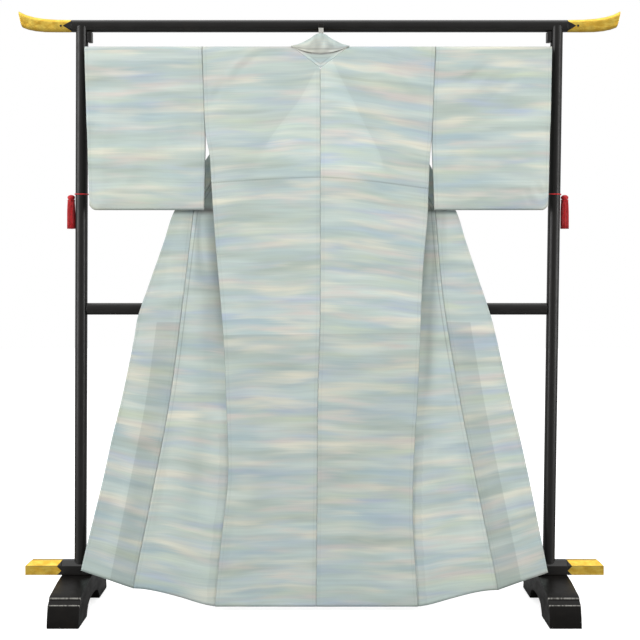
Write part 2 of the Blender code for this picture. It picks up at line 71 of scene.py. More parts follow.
NECK = 0.083  # half the neck's width on the shoulder
NECK_POINT, NECK_SAG = 1.572, 1.612  # lowest points of the neckline and of the collar's seam
COLLAR = 0.058  # width of the folded collar
COLLAR_END, COLLAR_BEND = 0.858, 1.56  # its low end, and where it turns in to the neck
OVERLAP_TOP, OVERLAP_BEND = 1.170, 1.157  # the overlap's top, and where its seam meets the collar
SLEEVE_LOW, SLEEVE_SEWN, CUFF_LOW = 1.165, 1.409, 1.400
PANEL, SLEEVE_PANEL = 0.34, 0.33  # widths of the silk between its seams
HEM_Z = 0.015
FOLD_ROUND = 0.004  # how softly a front turns at its upright fold
SEAM = 0.00005  # what a piece stops short of a seam
ROW = 0.008  # height of one row of the cloth's grid
FRONT_TOP = 1.612  # first row below the rod on the far side
TUCK_Z = 1.260  # the tuck across the back, at the centre seam
LINING_Z = 0.812  # top of the seat lining
STRIP, STRIP_TOP = 0.068, 0.845  # the doubled strip beside the overlap's seam
ALLOWANCE, ALLOWANCE_TOP = 0.028, 0.52  # the turned-in edge beside the back panel

Rise = namedtuple("Rise", "out z")
HEM = [  # the hem's height at a distance from the centre seam
    Rise(0.30, HEM_Z),
    Rise(0.37, 0.018),
    Rise(0.41, 0.026),
    Rise(0.46, 0.038),
    Rise(0.52, 0.056),
    Rise(0.60, 0.088),
    Rise(0.64, 0.1015),
    Rise(0.70, 0.118),
]

# Distances from the centre seam to an edge or a seam at a height, on the left and on the right.
Level = namedtuple("Level", "z left right")
BACK_EDGE = [
    Level(0.033, 0.297, 0.291),
    Level(0.150, 0.286, 0.283),
    Level(0.267, 0.273, 0.277),
    Level(0.384, 0.260, 0.277),
    Level(0.500, 0.260, 0.282),
    Level(0.616, 0.264, 0.289),
    Level(0.790, 0.271, 0.296),
    Level(0.906, 0.279, 0.299),
    Level(1.050, 0.291, 0.306),
    Level(1.171, 0.300, 0.316),
    Level(1.257, 0.305, 0.319),
    Level(1.337, 0.310, 0.322),
    Level(1.409, 0.322, 0.328),
    Level(1.634, 0.331, 0.339),
]
FOLD = [  # the upright fold in each front, behind the back panel
    Level(0.10, 0.290, 0.287),
    Level(0.384, 0.249, 0.252),
    Level(0.616, 0.229, 0.234),
    Level(0.906, 0.217, 0.2145),
    Level(1.157, 0.210, 0.201),
    Level(1.24, 0.200, 0.200),
    Level(1.32, 0.174, 0.179),
    Level(1.40, 0.123, 0.137),
    Level(1.48, 0.063, 0.095),
    Level(1.56, 0.019, 0.052),
    Level(1.634, 0.083, 0.083),
]
SHOWN_FOLD = [*FOLD[4:10], Level(1.63, -0.020, 0.020)]  # the doubled silk's edge, through the back
SHOWN_FROM = {"left": 1.33, "right": 1.27}  # the height from which that edge shows
OVERLAP_SEAM = [
    Level(0.06, 0.539, 0.526),
    Level(0.10, 0.531, 0.519),
    Level(0.384, 0.473, 0.460),
    Level(0.616, 0.429, 0.4135),
    Level(0.906, 0.390, 0.365),
    Level(1.157, 0.359, 0.340),
]
OUTER_EDGE = [
    Level(0.10, 0.694, 0.674),
    Level(0.15, 0.683, 0.664),
    Level(0.267, 0.654, 0.640),
    Level(0.384, 0.625, 0.616),
    Level(0.50, 0.599, 0.590),
    Level(0.616, 0.570, 0.561),
    Level(0.79, 0.533, 0.520),
    Level(0.857, 0.521, 0.503),
    Level(0.964, 0.484, 0.467),
    Level(1.079, 0.443, 0.428),
    Level(1.157, 0.417, 0.403),
    Level(1.24, 0.368, 0.356),
    Level(1.32, 0.318, 0.312),
    Level(1.40, 0.262, 0.260),
    Level(1.48, 0.199, 0.205),
    Level(1.56, 0.135, 0.150),
]
SLEEVE_INNER = [
    Level(1.165, 0.3265, 0.3355),
    Level(1.409, 0.3225, 0.3285),
    Level(1.634, 0.3315, 0.3395),
]
SLEEVE_OUTER = [Level(1.165, 0.657, 0.664), Level(1.634, 0.669, 0.673)]

# Creases in the cloth, in metres: a line from (x0, z0) to (x1, z1) that bows sideways by bow, with a
# width and a height. A positive height is a ridge towards the viewer, a negative one a trough.
Crease = namedtuple("Crease", "x0 z0 x1 z1 width height bow")
BACK_CREASES = [
    Crease(-0.252, 1.570, -0.176, 1.632, 0.008, 0.0030, 0.004),
    Crease(-0.236, 1.555, -0.150, 1.622, 0.009, -0.0024, -0.004),
    Crease(-0.296, 1.520, -0.214, 1.608, 0.014, 0.0030, 0.008),
    Crease(-0.318, 1.455, -0.262, 1.560, 0.012, -0.0022, 0.006),
    Crease(0.300, 1.500, 0.215, 1.606, 0.014, 0.0028, -0.008),
    Crease(0.252, 1.558, 0.180, 1.624, 0.009, -0.0020, 0.004),
    Crease(0.136, 1.242, 0.312, 1.190, 0.005, -0.0024, 0.006),
    Crease(-0.282, 1.215, -0.120, 1.232, 0.010, 0.0016, 0.006),
    Crease(0.020, 1.200, 0.130, 1.170, 0.016, 0.0016, 0.010),
    Crease(-0.180, 1.080, -0.150, 0.760, 0.045, 0.0030, 0.020),
    Crease(-0.060, 1.150, -0.075, 0.640, 0.040, -0.0026, -0.020),
    Crease(0.090, 1.120, 0.075, 0.560, 0.045, 0.0028, 0.018),
    Crease(0.200, 1.150, 0.215, 0.800, 0.030, -0.0026, 0.012),
    Crease(-0.215, 0.700, -0.200, 0.200, 0.032, 0.0028, -0.014),
    Crease(-0.110, 0.520, -0.130, 0.060, 0.040, -0.0030, 0.015),
    Crease(0.140, 0.600, 0.160, 0.100, 0.036, 0.0028, -0.016),
    Crease(0.225, 0.480, 0.238, 0.060, 0.026, -0.0026, 0.010),
    Crease(0.050, 0.420, 0.060, 0.030, 0.034, -0.0022, 0.012),
    Crease(-0.030, 0.360, -0.034, 0.030, 0.024, 0.0020, -0.010),
    Crease(-0.245, 0.300, -0.240, 0.040, 0.020, -0.0024, 0.008),
]
SLEEVE_CREASES = {
    "left": [
        Crease(-0.655, 1.226, -0.345, 1.232, 0.006, 0.0022, 0.004),
        Crease(-0.655, 1.216, -0.345, 1.221, 0.005, -0.0016, 0.004),
        Crease(-0.440, 1.400, -0.340, 1.230, 0.020, 0.0032, 0.014),
        Crease(-0.470, 1.360, -0.395, 1.225, 0.018, -0.0028, 0.012),
        Crease(-0.400, 1.450, -0.332, 1.320, 0.014, -0.0024, 0.010),
        Crease(-0.560, 1.560, -0.480, 1.420, 0.030, 0.0026, 0.016),
        Crease(-0.640, 1.540, -0.600, 1.300, 0.026, -0.0028, 0.012),
        Crease(-0.520, 1.300, -0.600, 1.200, 0.022, 0.0024, -0.010),
        Crease(-0.642, 1.205, -0.615, 1.178, 0.005, 0.0018, 0.002),
        Crease(-0.655, 1.225, -0.630, 1.186, 0.004, -0.0014, 0.002),
    ],
    "right": [
        Crease(0.560, 1.600, 0.430, 1.480, 0.012, 0.0030, 0.006),
        Crease(0.585, 1.580, 0.470, 1.462, 0.011, -0.0028, -0.006),
        Crease(0.530, 1.610, 0.405, 1.505, 0.010, -0.0022, 0.008),
        Crease(0.610, 1.560, 0.520, 1.440, 0.012, 0.0024, 0.008),
        Crease(0.470, 1.600, 0.385, 1.530, 0.010, 0.0020, -0.004),
        Crease(0.345, 1.236, 0.660, 1.228, 0.006, 0.0030, -0.004),
        Crease(0.345, 1.224, 0.660, 1.217, 0.005, -0.0022, -0.004),
        Crease(0.610, 1.236, 0.640, 1.180, 0.005, 0.0024, 0.003),
        Crease(0.624, 1.244, 0.656, 1.196, 0.004, -0.0020, 0.003),
        Crease(0.638, 1.252, 0.662, 1.214, 0.004, 0.0020, 0.002),
        Crease(0.592, 1.226, 0.622, 1.172, 0.005, -0.0016, 0.003),
        Crease(0.400, 1.420, 0.350, 1.270, 0.020, 0.0026, -0.012),
        Crease(0.480, 1.380, 0.560, 1.260, 0.030, -0.0024, 0.014),
    ],
}
WING_CREASES = {
    "left": [
        Crease(-0.346, 1.190, -0.326, 0.960, 0.016, -0.0080, 0.006),
        Crease(-0.372, 1.150, -0.352, 0.900, 0.018, 0.0060, 0.006),
        Crease(-0.318, 0.960, -0.300, 0.620, 0.024, -0.0050, 0.008),
        Crease(-0.355, 0.800, -0.385, 0.300, 0.032, 0.0046, -0.012),
        Crease(-0.300, 0.600, -0.340, 0.150, 0.026, -0.0036, 0.010),
        Crease(-0.420, 0.560, -0.460, 0.160, 0.030, -0.0040, 0.010),
        Crease(-0.520, 0.620, -0.570, 0.200, 0.028, 0.0040, -0.008),
        Crease(-0.560, 0.420, -0.640, 0.120, 0.030, -0.0040, 0.008),
        Crease(-0.410, 1.120, -0.450, 0.900, 0.020, -0.0026, 0.008),
    ],
    "right": [
        Crease(0.352, 1.190, 0.334, 0.940, 0.016, -0.0080, -0.006),
        Crease(0.376, 1.150, 0.352, 0.880, 0.018, 0.0056, -0.006),
        Crease(0.326, 0.940, 0.318, 0.600, 0.024, -0.0050, 0.008),
        Crease(0.350, 0.760, 0.392, 0.280, 0.032, 0.0048, 0.012),
        Crease(0.308, 0.560, 0.345, 0.130, 0.026, -0.0038, -0.010),
        Crease(0.410, 0.520, 0.446, 0.120, 0.026, -0.0050, -0.010),
        Crease(0.480, 0.560, 0.530, 0.120, 0.028, 0.0050, 0.008),
        Crease(0.555, 0.480, 0.610, 0.120, 0.026, -0.0050, -0.008),
        Crease(0.400, 1.100, 0.430, 0.900, 0.020, -0.0024, -0.008),
    ],
}


# How light each stretch of silk looks: 1 is the cloth's own colour.
SHOULDER_TONE, SLEEVE_TONE, COLLAR_TONE = 0.885, 0.865, 0.84
WING_TONE = {"left": 0.835, "right": 0.875}
# Where each piece's streaks are read, so that no two pieces show the same ones.
BODY_STREAKS = {"left": 3.0, "right": 8.0}
EDGE_STREAKS = {"left": 13.0, "right": 15.0}
SLEEVE_STREAKS = {"left": 21.0, "right": 24.0}


# ---------------------------------------------------------------- curves and heights


def lerp(a, b, share):
    """The value a share of the way from a to b."""
    return a + (b - a) * share


def ease(value):
    """0 below 0, 1 above 1, and a smooth change between."""
    value = min(1.0, max(0.0, value))
    return value * value * (3 - 2 * value)


def at(table, z, side):
    """A table's distance at a height, along a smooth curve through its rows."""
    if z <= table[0].z:
        return getattr(table[0], side)
    if z >= table[-1].z:
        return getattr(table[-1], side)
    low = next(k for k in range(len(table) - 1) if z <= table[k + 1].z)
    values = [getattr(row, side) for row in table]

    def slope(k):
        before, after = max(0, k - 1), min(len(table) - 1, k + 1)
        return (values[after] - values[before]) / (table[after].z - table[before].z)

    span = table[low + 1].z - table[low].z
    t = (z - table[low].z) / span
    return (
        values[low] * (1 + 2 * t) * (1 - t) ** 2
        + slope(low) * span * t * (1 - t) ** 2
        + values[low + 1] * t * t * (3 - 2 * t)
        + slope(low + 1) * span * t * t * (t - 1)
    )


def relief(creases, x, z):
    """How far the creases lift the cloth at a place."""
    total = 0.0
    for c in creases:
        dx, dz = c.x1 - c.x0, c.z1 - c.z0
        length = math.hypot(dx, dz)
        along = ((x - c.x0) * dx + (z - c.z0) * dz) / length
        if not -2 * c.width < along < length + 2 * c.width:
            continue
        share = min(1.0, max(0.0, along / length))
        off = ((x - c.x0) * dz - (z - c.z0) * dx) / length - c.bow * math.sin(math.pi * share)
        past = max(0.0, -along, along - length)
        reach = (off * off + past * past) / (c.width * c.width)
        if reach < 9:
            total += c.height * math.exp(-reach) * (0.25 + 0.75 * math.sin(math.pi * share))
    return total


def drift(x, z, size, height, seed):
    """Broad, uneven waves in the hang of the cloth."""
    return height * noise.noise(Vector((x / size, z / (2.2 * size), seed)))


def back_y(z):
    """Where the back panel hangs at a height, from the rod's face to its own plane."""
    top = ROD_Y - OVER
    return top + (HANG_Y - top) * ease((ROD_Z - z) / 0.32)


def lining_y(z):
    """Where a front hangs against the inside of the back."""
    top = ROD_Y + OVER
    return top + (HANG_Y + 0.008 - top) * ease((1.52 - z) / 0.32)


def wing_y(z):
    """Where the turned part of a front hangs."""
    return WING_Y + 0.014 * ease((z - 1.30) / 0.30)


def front_edge(z, side):
    """Where a front ends: at the overlap's seam, and above that at the collar's."""
    if z < OVERLAP_BEND:
        return at(OVERLAP_SEAM, z, side)
    if z > COLLAR_BEND:
        return at(OUTER_EDGE, COLLAR_BEND, side) - COLLAR + (z - COLLAR_BEND) * 0.08
    return at(OUTER_EDGE, z, side) - COLLAR


def hem_z(distance):
    """The hem's height at a distance from the centre seam."""
    if distance <= HEM[0].out:
        return HEM_Z
    for (near, low), (far, high) in zip(HEM, HEM[1:]):
        if distance <= far:
            return lerp(low, high, (distance - near) / (far - near))
    return HEM[-1].z


def hem_at(table, side):
    """The height at which a seam or an edge reaches the hem."""
    z = HEM_Z
    for _ in range(12):
        z = hem_z(at(table, z, side))
    return z


def tilt(z, seam_hem, drop):
    """How far a front's row sinks from its seam to its upright fold."""
    return drop * min(1.0, max(0.0, (0.95 - z) / (0.95 - seam_hem)))


def weft_drop(x, z, side):
    """How far a weft thread of the back sinks towards the side seam."""
    most = lerp(0.004, {"left": 0.016, "right": 0.030}[side], ease((z - 0.60) / 0.55))
    return most * (min(abs(x), PANEL) / 0.30) ** 1.4


def neckline_z(x):
    """The back's neckline, a V."""
    return NECK_POINT + (ROD_Z + OVER - NECK_POINT) * abs(x) / NECK


def sag_z(x):
    """The seam of the collar across the neck, a shallow sag."""
    return NECK_SAG + (ROD_Z + OVER - NECK_SAG) * (x / NECK) ** 2


def under_sleeve(z):
    """The painted shadow that a sleeve throws on the wing below it and along its foot, and painted light on
    the wing behind the sleeve, above that.
    """
    below = SLEEVE_LOW - z
    if below < 0:
        return lerp(0.70, 1.35, ease(-below / 0.02))
    return lerp(0.42, 1.0, ease(below / 0.014)) * lerp(0.88, 1.0, ease(below / 0.06))


def beside_back(x, z, side):
    """The painted shade on a wing beside the back panel's edge, and the fold that ends it, with a painted
    highlight on a fold's crest under the sleeve.
    """
    off = x - at(BACK_EDGE, z, side)
    high = ease((z - 0.76) / 0.12)
    crest_highlight = 0.16 * math.exp(-(((x - 0.362) / 0.011) ** 2) - ((z - 1.112) / 0.030) ** 2)
    shade = 0.08 * ease(1.0 - (off - 0.030) / 0.035) + 0.12 * ease(1.0 - off / 0.030)
    return 1.0 - high * shade + crest_highlight


def shifted(x, z):
    """The centre seam and the neck hang a little to the right high up, and to the left at the hem."""
    shift = 0.0085 * ease((z - 0.55) / 0.35) - 0.0035 * ease((0.50 - z) / 0.50)
    return KIMONO_X + x + shift * (1.0 - ease((abs(x) - 0.04) / 0.24))


def spaced(top, low, step):
    """Heights from the top to the lowest one, about a step apart."""
    count = max(1, round((top - low) / step))
    return [lerp(top, low, k / count) for k in range(count + 1)]


# ---------------------------------------------------------------- pieces of cloth


FAR = 1.0  # a distance that is nowhere near
# Where a point of the cloth goes, its cloth coordinates, and what the silk's finish reads there:
# tone is the shade, deep and strip are distances into a doubled zone, tuck, hem and seam are
# distances from those lines, and twin is how strong a second line shows beside the seam.
Spot = namedtuple(
    "Spot",
    "place u v tone deep strip tuck hem seam twin",
    defaults=(-FAR, -FAR, FAR, FAR, FAR, 0.0),
)
MARKS = Spot._fields[3:]


def cloth(name, columns, rows, spot, node, thickness=SILK, closed=False):
    """A sheet on a fine grid, whose points spot(column, row) places, with both its faces."""
    bm = bmesh.new()
    bmesh.ops.create_grid(bm, x_segments=columns, y_segments=rows, size=0.5)
    across = bm.loops.layers.uv.new("cloth")
    layers = {mark: bm.verts.layers.float.new(mark) for mark in MARKS}
    spots = {}
    for vert in bm.verts:
        column, row = round((vert.co.x + 0.5) * columns), round((vert.co.y + 0.5) * rows)
        spots[vert] = made = spot(column, row)
        x, y, z = made.place
        vert.co = (shifted(x, z), y, z)
        for mark in MARKS:
            vert[layers[mark]] = getattr(made, mark)
    for face in bm.faces:
        face.smooth = True
        for loop in face.loops:
            loop[across].uv = (spots[loop.vert].u, spots[loop.vert].v)
    if closed:
        bmesh.ops.remove_doubles(bm, verts=bm.verts, dist=1e-6)
    mesh = bpy.data.meshes.new(name)
    bm.to_mesh(mesh)
    bm.free()
    made = bpy.data.objects.new(name, mesh)
    bpy.context.scene.collection.objects.link(made)
    shell = made.modifiers.new("thickness", "SOLIDIFY")
    shell.thickness = thickness
    shell.offset = 0
    mesh.materials.append(silk)
    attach(made, "root")
    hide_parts(node)
    return made


def spread(share, total, turn, mixed):
    """Where a column of a front lies along its row: closer together round the upright fold."""
    reach = 3 * FOLD_ROUND
    near, far = max(0.0, turn - reach), min(total, turn + reach)
    if share < 0.30:
        placed = lerp(0, near, share / 0.30)
    elif share < 0.48:
        placed = lerp(near, far, (share - 0.30) / 0.18)
    else:
        placed = lerp(far, total, (share - 0.48) / 0.52)
    return lerp(share * total, placed, mixed)


def body(side, sign, offset):
    """One length of silk: up the back from the hem, over the rod, and down the front to its hem."""
    columns = 60
    seam_hem = hem_at(OVERLAP_SEAM, side)
    tuck_rows = [TUCK_Z + step for step in (-0.004, -0.0012, 0.0, 0.0012, 0.004)]
    backs = sorted({*spaced(ROD_Z, HEM_Z, ROW), *tuck_rows})
    overs = [180 - 15 * k for k in range(1, 13)]
    fronts = spaced(FRONT_TOP, seam_hem, ROW)
    ring = [("back", z) for z in backs] + [("over", d) for d in overs] + [("front", z) for z in fronts]

    def on_back(v, share):
        inner = max(SEAM, NECK * (v - NECK_POINT) / (ROD_Z + OVER - NECK_POINT)) if v > NECK_POINT else SEAM
        edge = at(BACK_EDGE, v, side)
        x = lerp(edge, inner, share)
        level = ease((1.60 - v) / 0.15) * ease((v - HEM_Z) / 0.25)
        z = v - level * weft_drop(x, v, side)
        lift = relief(BACK_CREASES, sign * x, z)
        lift += drift(sign * x, z, 0.10, 0.0022, 3.1) * ease((ROD_Z - z) / 0.10)
        lift *= ease((edge - x) / 0.03) * ease((x - inner) / 0.02) * 0.85 + 0.15
        lift += 0.0009 * ease((v - TUCK_Z + 0.0012) / 0.0024)
        lift -= 0.0006 * math.exp(-(((x - inner) / 0.004) ** 2))
        deep = (x - at(SHOWN_FOLD, z, side)) * ease((z - SHOWN_FROM[side]) / 0.05)
        # Painted shade and light: darker higher up the back, lighter high up where the back is single,
        # inside the doubled silk's edge, and a little lighter below the seat lining's top.
        tone = lerp(0.955, 0.925, ease((z - 0.50) / 0.60))
        tone *= 1.0 + 0.06 * ease((at(SHOWN_FOLD, z, side) - x) / 0.03 + 0.3) * ease((z - 1.22) / 0.08)
        lined = LINING_Z - 0.004 + 0.004 * sign * x / 0.3 - z
        tone *= 1.0 + 0.045 * ease(lined / 0.008 + 0.5)
        return Spot(
            (sign * x, back_y(z) - lift, z),
            sign * x + offset,
            z + weft_drop(x, v, side),
            tone,
            deep,
            lined,
            tuck=v - TUCK_Z,
            hem=z - HEM_Z,
            seam=min(edge - x, x - SEAM),
        )

    def on_front(z, share):
        low = z - tilt(z, seam_hem, seam_hem - HEM_Z)
        edge = at(BACK_EDGE, low, side)
        far = front_edge(z, side) - (0 if z > OVERLAP_BEND else SEAM / 2)
        deep = max(0.0, edge - at(FOLD, low, side))
        total = far - edge + deep + math.hypot(deep, FOLD_ROUND)
        turn = max(deep, 0.016)
        s = spread(share, total, turn, ease((1.60 - z) / 0.10))
        inwards = math.hypot(deep, FOLD_ROUND) - math.hypot(s - deep, FOLD_ROUND)
        turned = 0.5 * (1 + math.tanh((s - deep) / FOLD_ROUND))
        start = 0.5 * (1 + math.tanh(-deep / FOLD_ROUND))
        turned = (turned - start) / (1 - start)
        height = lerp(low, z, ease(s / total))
        near = back_y(height) + 0.0017
        sewn = ease((SLEEVE_SEWN - z) / 0.10)
        first = lerp(lining_y(height), near, sewn * (1 - ease(s / 0.04)))
        if turn > deep:
            first = lerp(near, lining_y(height), ease(s / 0.04))
        x = edge - inwards
        lift = relief(WING_CREASES[side], sign * x, height) + drift(sign * x, height, 0.09, 0.0040, 7.7)
        lift *= ease((s - deep - 0.01) / 0.06) * ease((total - s) / 0.03) * ease((1.30 - z) / 0.12)
        merged = ease((0.86 - height) / 0.34)
        hung = lerp(wing_y(height), back_y(height) + 0.003, merged * (1 - ease((s - deep) / 0.11)))
        allowance = ALLOWANCE - (x - at(BACK_EDGE, height, side))
        return Spot(
            (sign * x, lerp(first, hung, turned) - lift, height),
            sign * (PANEL - s) + offset,
            ROD_Z + OVER_LENGTH + (ROD_Z - lerp(z, height, 0.35)),
            WING_TONE[side] * under_sleeve(height) * beside_back(x, height, side),
            strip=min(allowance, 0.0) if height < ALLOWANCE_TOP else -FAR,
            hem=height - hem_z(x),
            seam=min(max(s, 0.0) if turn > deep else FAR, total - s),
            twin=ease((height - 0.45) / 0.40),
        )

    def spot(column, row):
        share = column / columns
        kind, value = ring[row]
        if kind == "back":
            return on_back(value, share)
        if kind == "front":
            return on_front(value, share)
        angle = math.radians(value)
        y, z = ROD_Y + OVER * math.cos(angle), ROD_Z + OVER * math.sin(angle)
        edge = at(BACK_EDGE, ROD_Z, side)
        neck_at_rod = NECK * (ROD_Z - NECK_POINT) / (ROD_Z + OVER - NECK_POINT)
        gone = 180 - value
        x = lerp(edge, lerp(neck_at_rod, NECK, ease(gone / 90)), share)
        v = ROD_Z + OVER * math.radians(gone) + weft_drop(x, ROD_Z, side) * (1 - gone / 180)
        return Spot((sign * x, y, z), sign * x + offset, v, SHOULDER_TONE, deep=FAR, seam=edge - x)

    made = cloth(f"silk_back_and_front_{side}", columns, len(ring) - 1, spot, f"body_{side}")
    return made


def overlap(side, sign, offset):
    """The narrow panel between a front and the wing's outer edge."""
    columns = 26
    seam_hem, outer_hem = hem_at(OVERLAP_SEAM, side), hem_at(OUTER_EDGE, side)
    tuck_in = COLLAR_END - 0.0015
    beside_collar = spaced(OVERLAP_TOP, COLLAR_END - 0.0008, 0.009)
    heights = beside_collar + spaced(tuck_in, seam_hem, ROW)
    reach = outer_hem - seam_hem

    def spot(column, row):
        z = heights[row]
        outer_z = z + reach * min(1.0, max(0.0, (tuck_in - z) / (tuck_in - seam_hem)))
        inner = at(OVERLAP_SEAM, z, side) + SEAM / 2
        outer = at(OUTER_EDGE, outer_z, side)
        share = column / columns
        height = lerp(z, outer_z, share)
        x = lerp(inner, outer, share)
        lift = relief(WING_CREASES[side], sign * x, height) + drift(sign * x, height, 0.09, 0.0040, 7.7)
        lift *= ease((x - inner) / 0.03) * ease((outer - x) / 0.012 + 0.35)
        return Spot(
            (sign * x, wing_y(height) - lift, height),
            sign * (x - inner) + offset,
            z,
            WING_TONE[side] * under_sleeve(height),
            strip=STRIP - (x - inner) if height < STRIP_TOP else -FAR,
            hem=height - hem_z(x),
            seam=min(x - inner, outer - x + 0.004),
        )

    made = cloth(f"silk_overlap_{side}", columns, len(heights) - 1, spot, f"overlap_{side}")
    return made


def collar(side, sign, offset):
    """The folded band down the wing's upper edge."""
    columns = 12
    heights = spaced(1.600, COLLAR_END, ROW)

    def spot(column, row):
        z = heights[row]
        share = column / columns
        inner = front_edge(z, side) if z > OVERLAP_BEND else at(OUTER_EDGE, z, side) - COLLAR
        outer = at(OUTER_EDGE, z, side) - 0.0015
        if z >= COLLAR_BEND:
            outer = lerp(at(OUTER_EDGE, COLLAR_BEND, side), inner + 0.030, ease((z - COLLAR_BEND) / 0.04))
        x = lerp(inner + SEAM, outer, share)
        lift = (0.0008 + drift(sign * x, z, 0.09, 0.0030, 7.7)) * math.sin(math.pi * share)
        lift -= 0.0040 * ease((OVERLAP_TOP + 0.030 - z) / 0.025)
        place, u = (sign * x, wing_y(z) - lift, z), sign * (x - at(OVERLAP_SEAM, z, side)) + offset
        return Spot(place, u, z, COLLAR_TONE * under_sleeve(z), seam=outer - x + 0.003)

    made = cloth(f"silk_collar_{side}", columns, len(heights) - 1, spot, f"collar_{side}")
    return made


def sleeve(side, sign, offset):
    """One length folded over the rod, sewn along its foot and up its outer edge to the cuff."""
    rows = 66
    falls = spaced(FRONT_TOP, SLEEVE_LOW + 0.006, 0.0075)
    ring = [("over", 180 - 15 * k) for k in range(13)]
    ring += [("front", z) for z in falls] + [("foot", SLEEVE_LOW)] + [("back", z) for z in reversed(falls)]
    whole = 2 * (ROD_Z - SLEEVE_LOW) + OVER_LENGTH
    creases = SLEEVE_CREASES[side]

    def lift_of(kind, x, z, half, share, closed):
        """How far creases and waves lift one face, less near the rod, the foot and the seams."""
        free = ease((ROD_Z - z) / 0.06) * ease((z - SLEEVE_LOW) / 0.02)
        if kind == "front":
            lift = 0.8 * relief(creases, sign * (1.0 - x), z) if z < 1.5 else 0.0
            lift = -free * (lift + drift(sign * x, z, 0.08, 0.0024, 9.4))
            lift = max(-half * 0.8, min(half * 0.8, lift))
        else:
            lift = free * (relief(creases, sign * x, z) + drift(sign * x, z, 0.08, 0.0026, 1.9))
        if closed > 0 or share < 0.5:
            lift *= ease(min(share, 1 - share) * PANEL / 0.02)
        return max(-half * 0.9, lift) if kind == "back" else lift

    def hung(kind, value, share):
        """A point of the two hanging faces, which close towards the foot and below the cuff."""
        x = lerp(at(SLEEVE_INNER, value, side) + SEAM, at(SLEEVE_OUTER, value, side), share)
        corner = 0.014 * (1 - math.sqrt(max(0.0, 1 - ease((share - 0.93) / 0.07) ** 2)))
        z = value + corner * ease((1.25 - value) / 0.08)
        middle = lerp((back_y(z) + ROD_Y + OVER) / 2, HANG_Y + 0.007, ease((ROD_Z - z) / 0.40))
        closed = ease((share - 0.85) / 0.15) * ease((CUFF_LOW + 0.03 - z) / 0.05)
        half = lerp(middle - back_y(z), 0.0011, closed)
        half *= ease((z - SLEEVE_LOW) / 0.03) ** 0.5 if kind != "foot" else 0.0
        face_y = middle + {"front": half, "foot": 0.0, "back": -half}[kind]
        return sign * x, face_y - lift_of(kind, x, z, half, share, closed), z

    def spot(column, row):
        share = row / rows
        kind, value = ring[column % len(ring)]
        if kind == "over":
            angle = math.radians(value)
            x = lerp(at(SLEEVE_INNER, ROD_Z, side) + SEAM, at(SLEEVE_OUTER, ROD_Z, side), share)
            place = (sign * x, ROD_Y + OVER * math.cos(angle), ROD_Z + OVER * math.sin(angle))
            along = whole if column == len(ring) else OVER * math.radians(180 - value)
        else:
            place = hung(kind, value, share)
            along = whole + value - ROD_Z if kind == "back" else OVER_LENGTH + ROD_Z - value
        across = share * SLEEVE_PANEL
        hem, seam = place[2] - SLEEVE_LOW, min(across, SLEEVE_PANEL - across + 0.002)
        return Spot(place, sign * across + offset, along, SLEEVE_TONE, hem=hem, seam=seam)

    made = cloth(f"silk_sleeve_{side}", len(ring), rows, spot, f"sleeve_{side}", closed=True)
    return made


def collar_back():
    """The collar across the back of the neck, drawn up to a point at the hook, with its gathers."""
    columns, rows, half = 72, 16, 0.084
    # The upper edge, for each distance z along the seam: how far out it is, and how high.
    Crown = namedtuple("Crown", "z out top")
    crown = [
        Crown(0.000, 0.0, 1.6720),
        Crown(0.018, 0.014, 1.6680),
        Crown(0.036, 0.031, 1.6560),
        Crown(0.054, 0.049, 1.6465),
        Crown(0.068, 0.064, 1.6400),
        Crown(0.084, 0.0835, 1.6350),
    ]

    def spot(column, row):
        x = lerp(-half, half, column / columns)
        up = row / rows
        reach = abs(x)
        top_x = math.copysign(at(crown, reach, "out"), x)
        top_z = at(crown, reach, "top")
        low = sag_z(x) + SEAM
        seam_y = -0.0550 + 0.003 * (reach / half) ** 2
        gather = 0.0014 * math.sin(reach * 420 + 0.9 * math.sin(reach * 150)) * up * (1 - reach / half)
        pout = 0.0045 * math.sin(math.pi * up) * (1 - 0.4 * reach / half)
        place = (lerp(x, top_x, up), lerp(seam_y, -0.0478, up) - pout - gather, lerp(low, top_z, up))
        # Painted shade and light: darker towards the seam, uneven painted shade in the gathers, and a
        # painted highlight in a band a little above the seam, away from the centre.
        shade = lerp(0.62, 0.80, ease(up * 1.3)) + 0.26 * noise.noise(Vector((x * 45, up * 2.4, 4.0)))
        shade += 0.22 * math.exp(-((up - 0.10) / 0.07) ** 2) * ease(reach / 0.03)
        # The twin lines paint dark shade at the seam, the shadow along the collar's lower edge, and a
        # second line above it.
        return Spot(place, 0.3 * x + 7.3, 2.37 + up * 0.02, shade, seam=up * 0.05, twin=1.0)

    made = cloth("silk_collar_back", columns, rows, spot, "collar_back", thickness=0.0018)
    return made


def gusset():
    """The three-cornered piece between the back's neckline and the collar's seam."""
    columns, rows, half = 56, 12, 0.080

    def spot(column, row):
        x = lerp(-half, half, column / columns)
        low, high = neckline_z(x) + SEAM, sag_z(x) - SEAM
        z = lerp(low, high, row / rows)
        lift = 0.0008 * math.sin(math.pi * row / rows)
        # Painted light and shade: a painted highlight along the neckline's folded edge, darker above it.
        tone, seam = lerp(1.12, 0.86, ease((z - low) / 0.012)), min(z - low, high - z)
        return Spot((x, back_y(z) - lift, z), 0.3 * x + 8.9, z, tone, seam=seam, twin=0.6)

    made = cloth("silk_neck_gusset", columns, rows, spot, "neck_gusset")
    return made


# ---------------------------------------------------------------- finishes


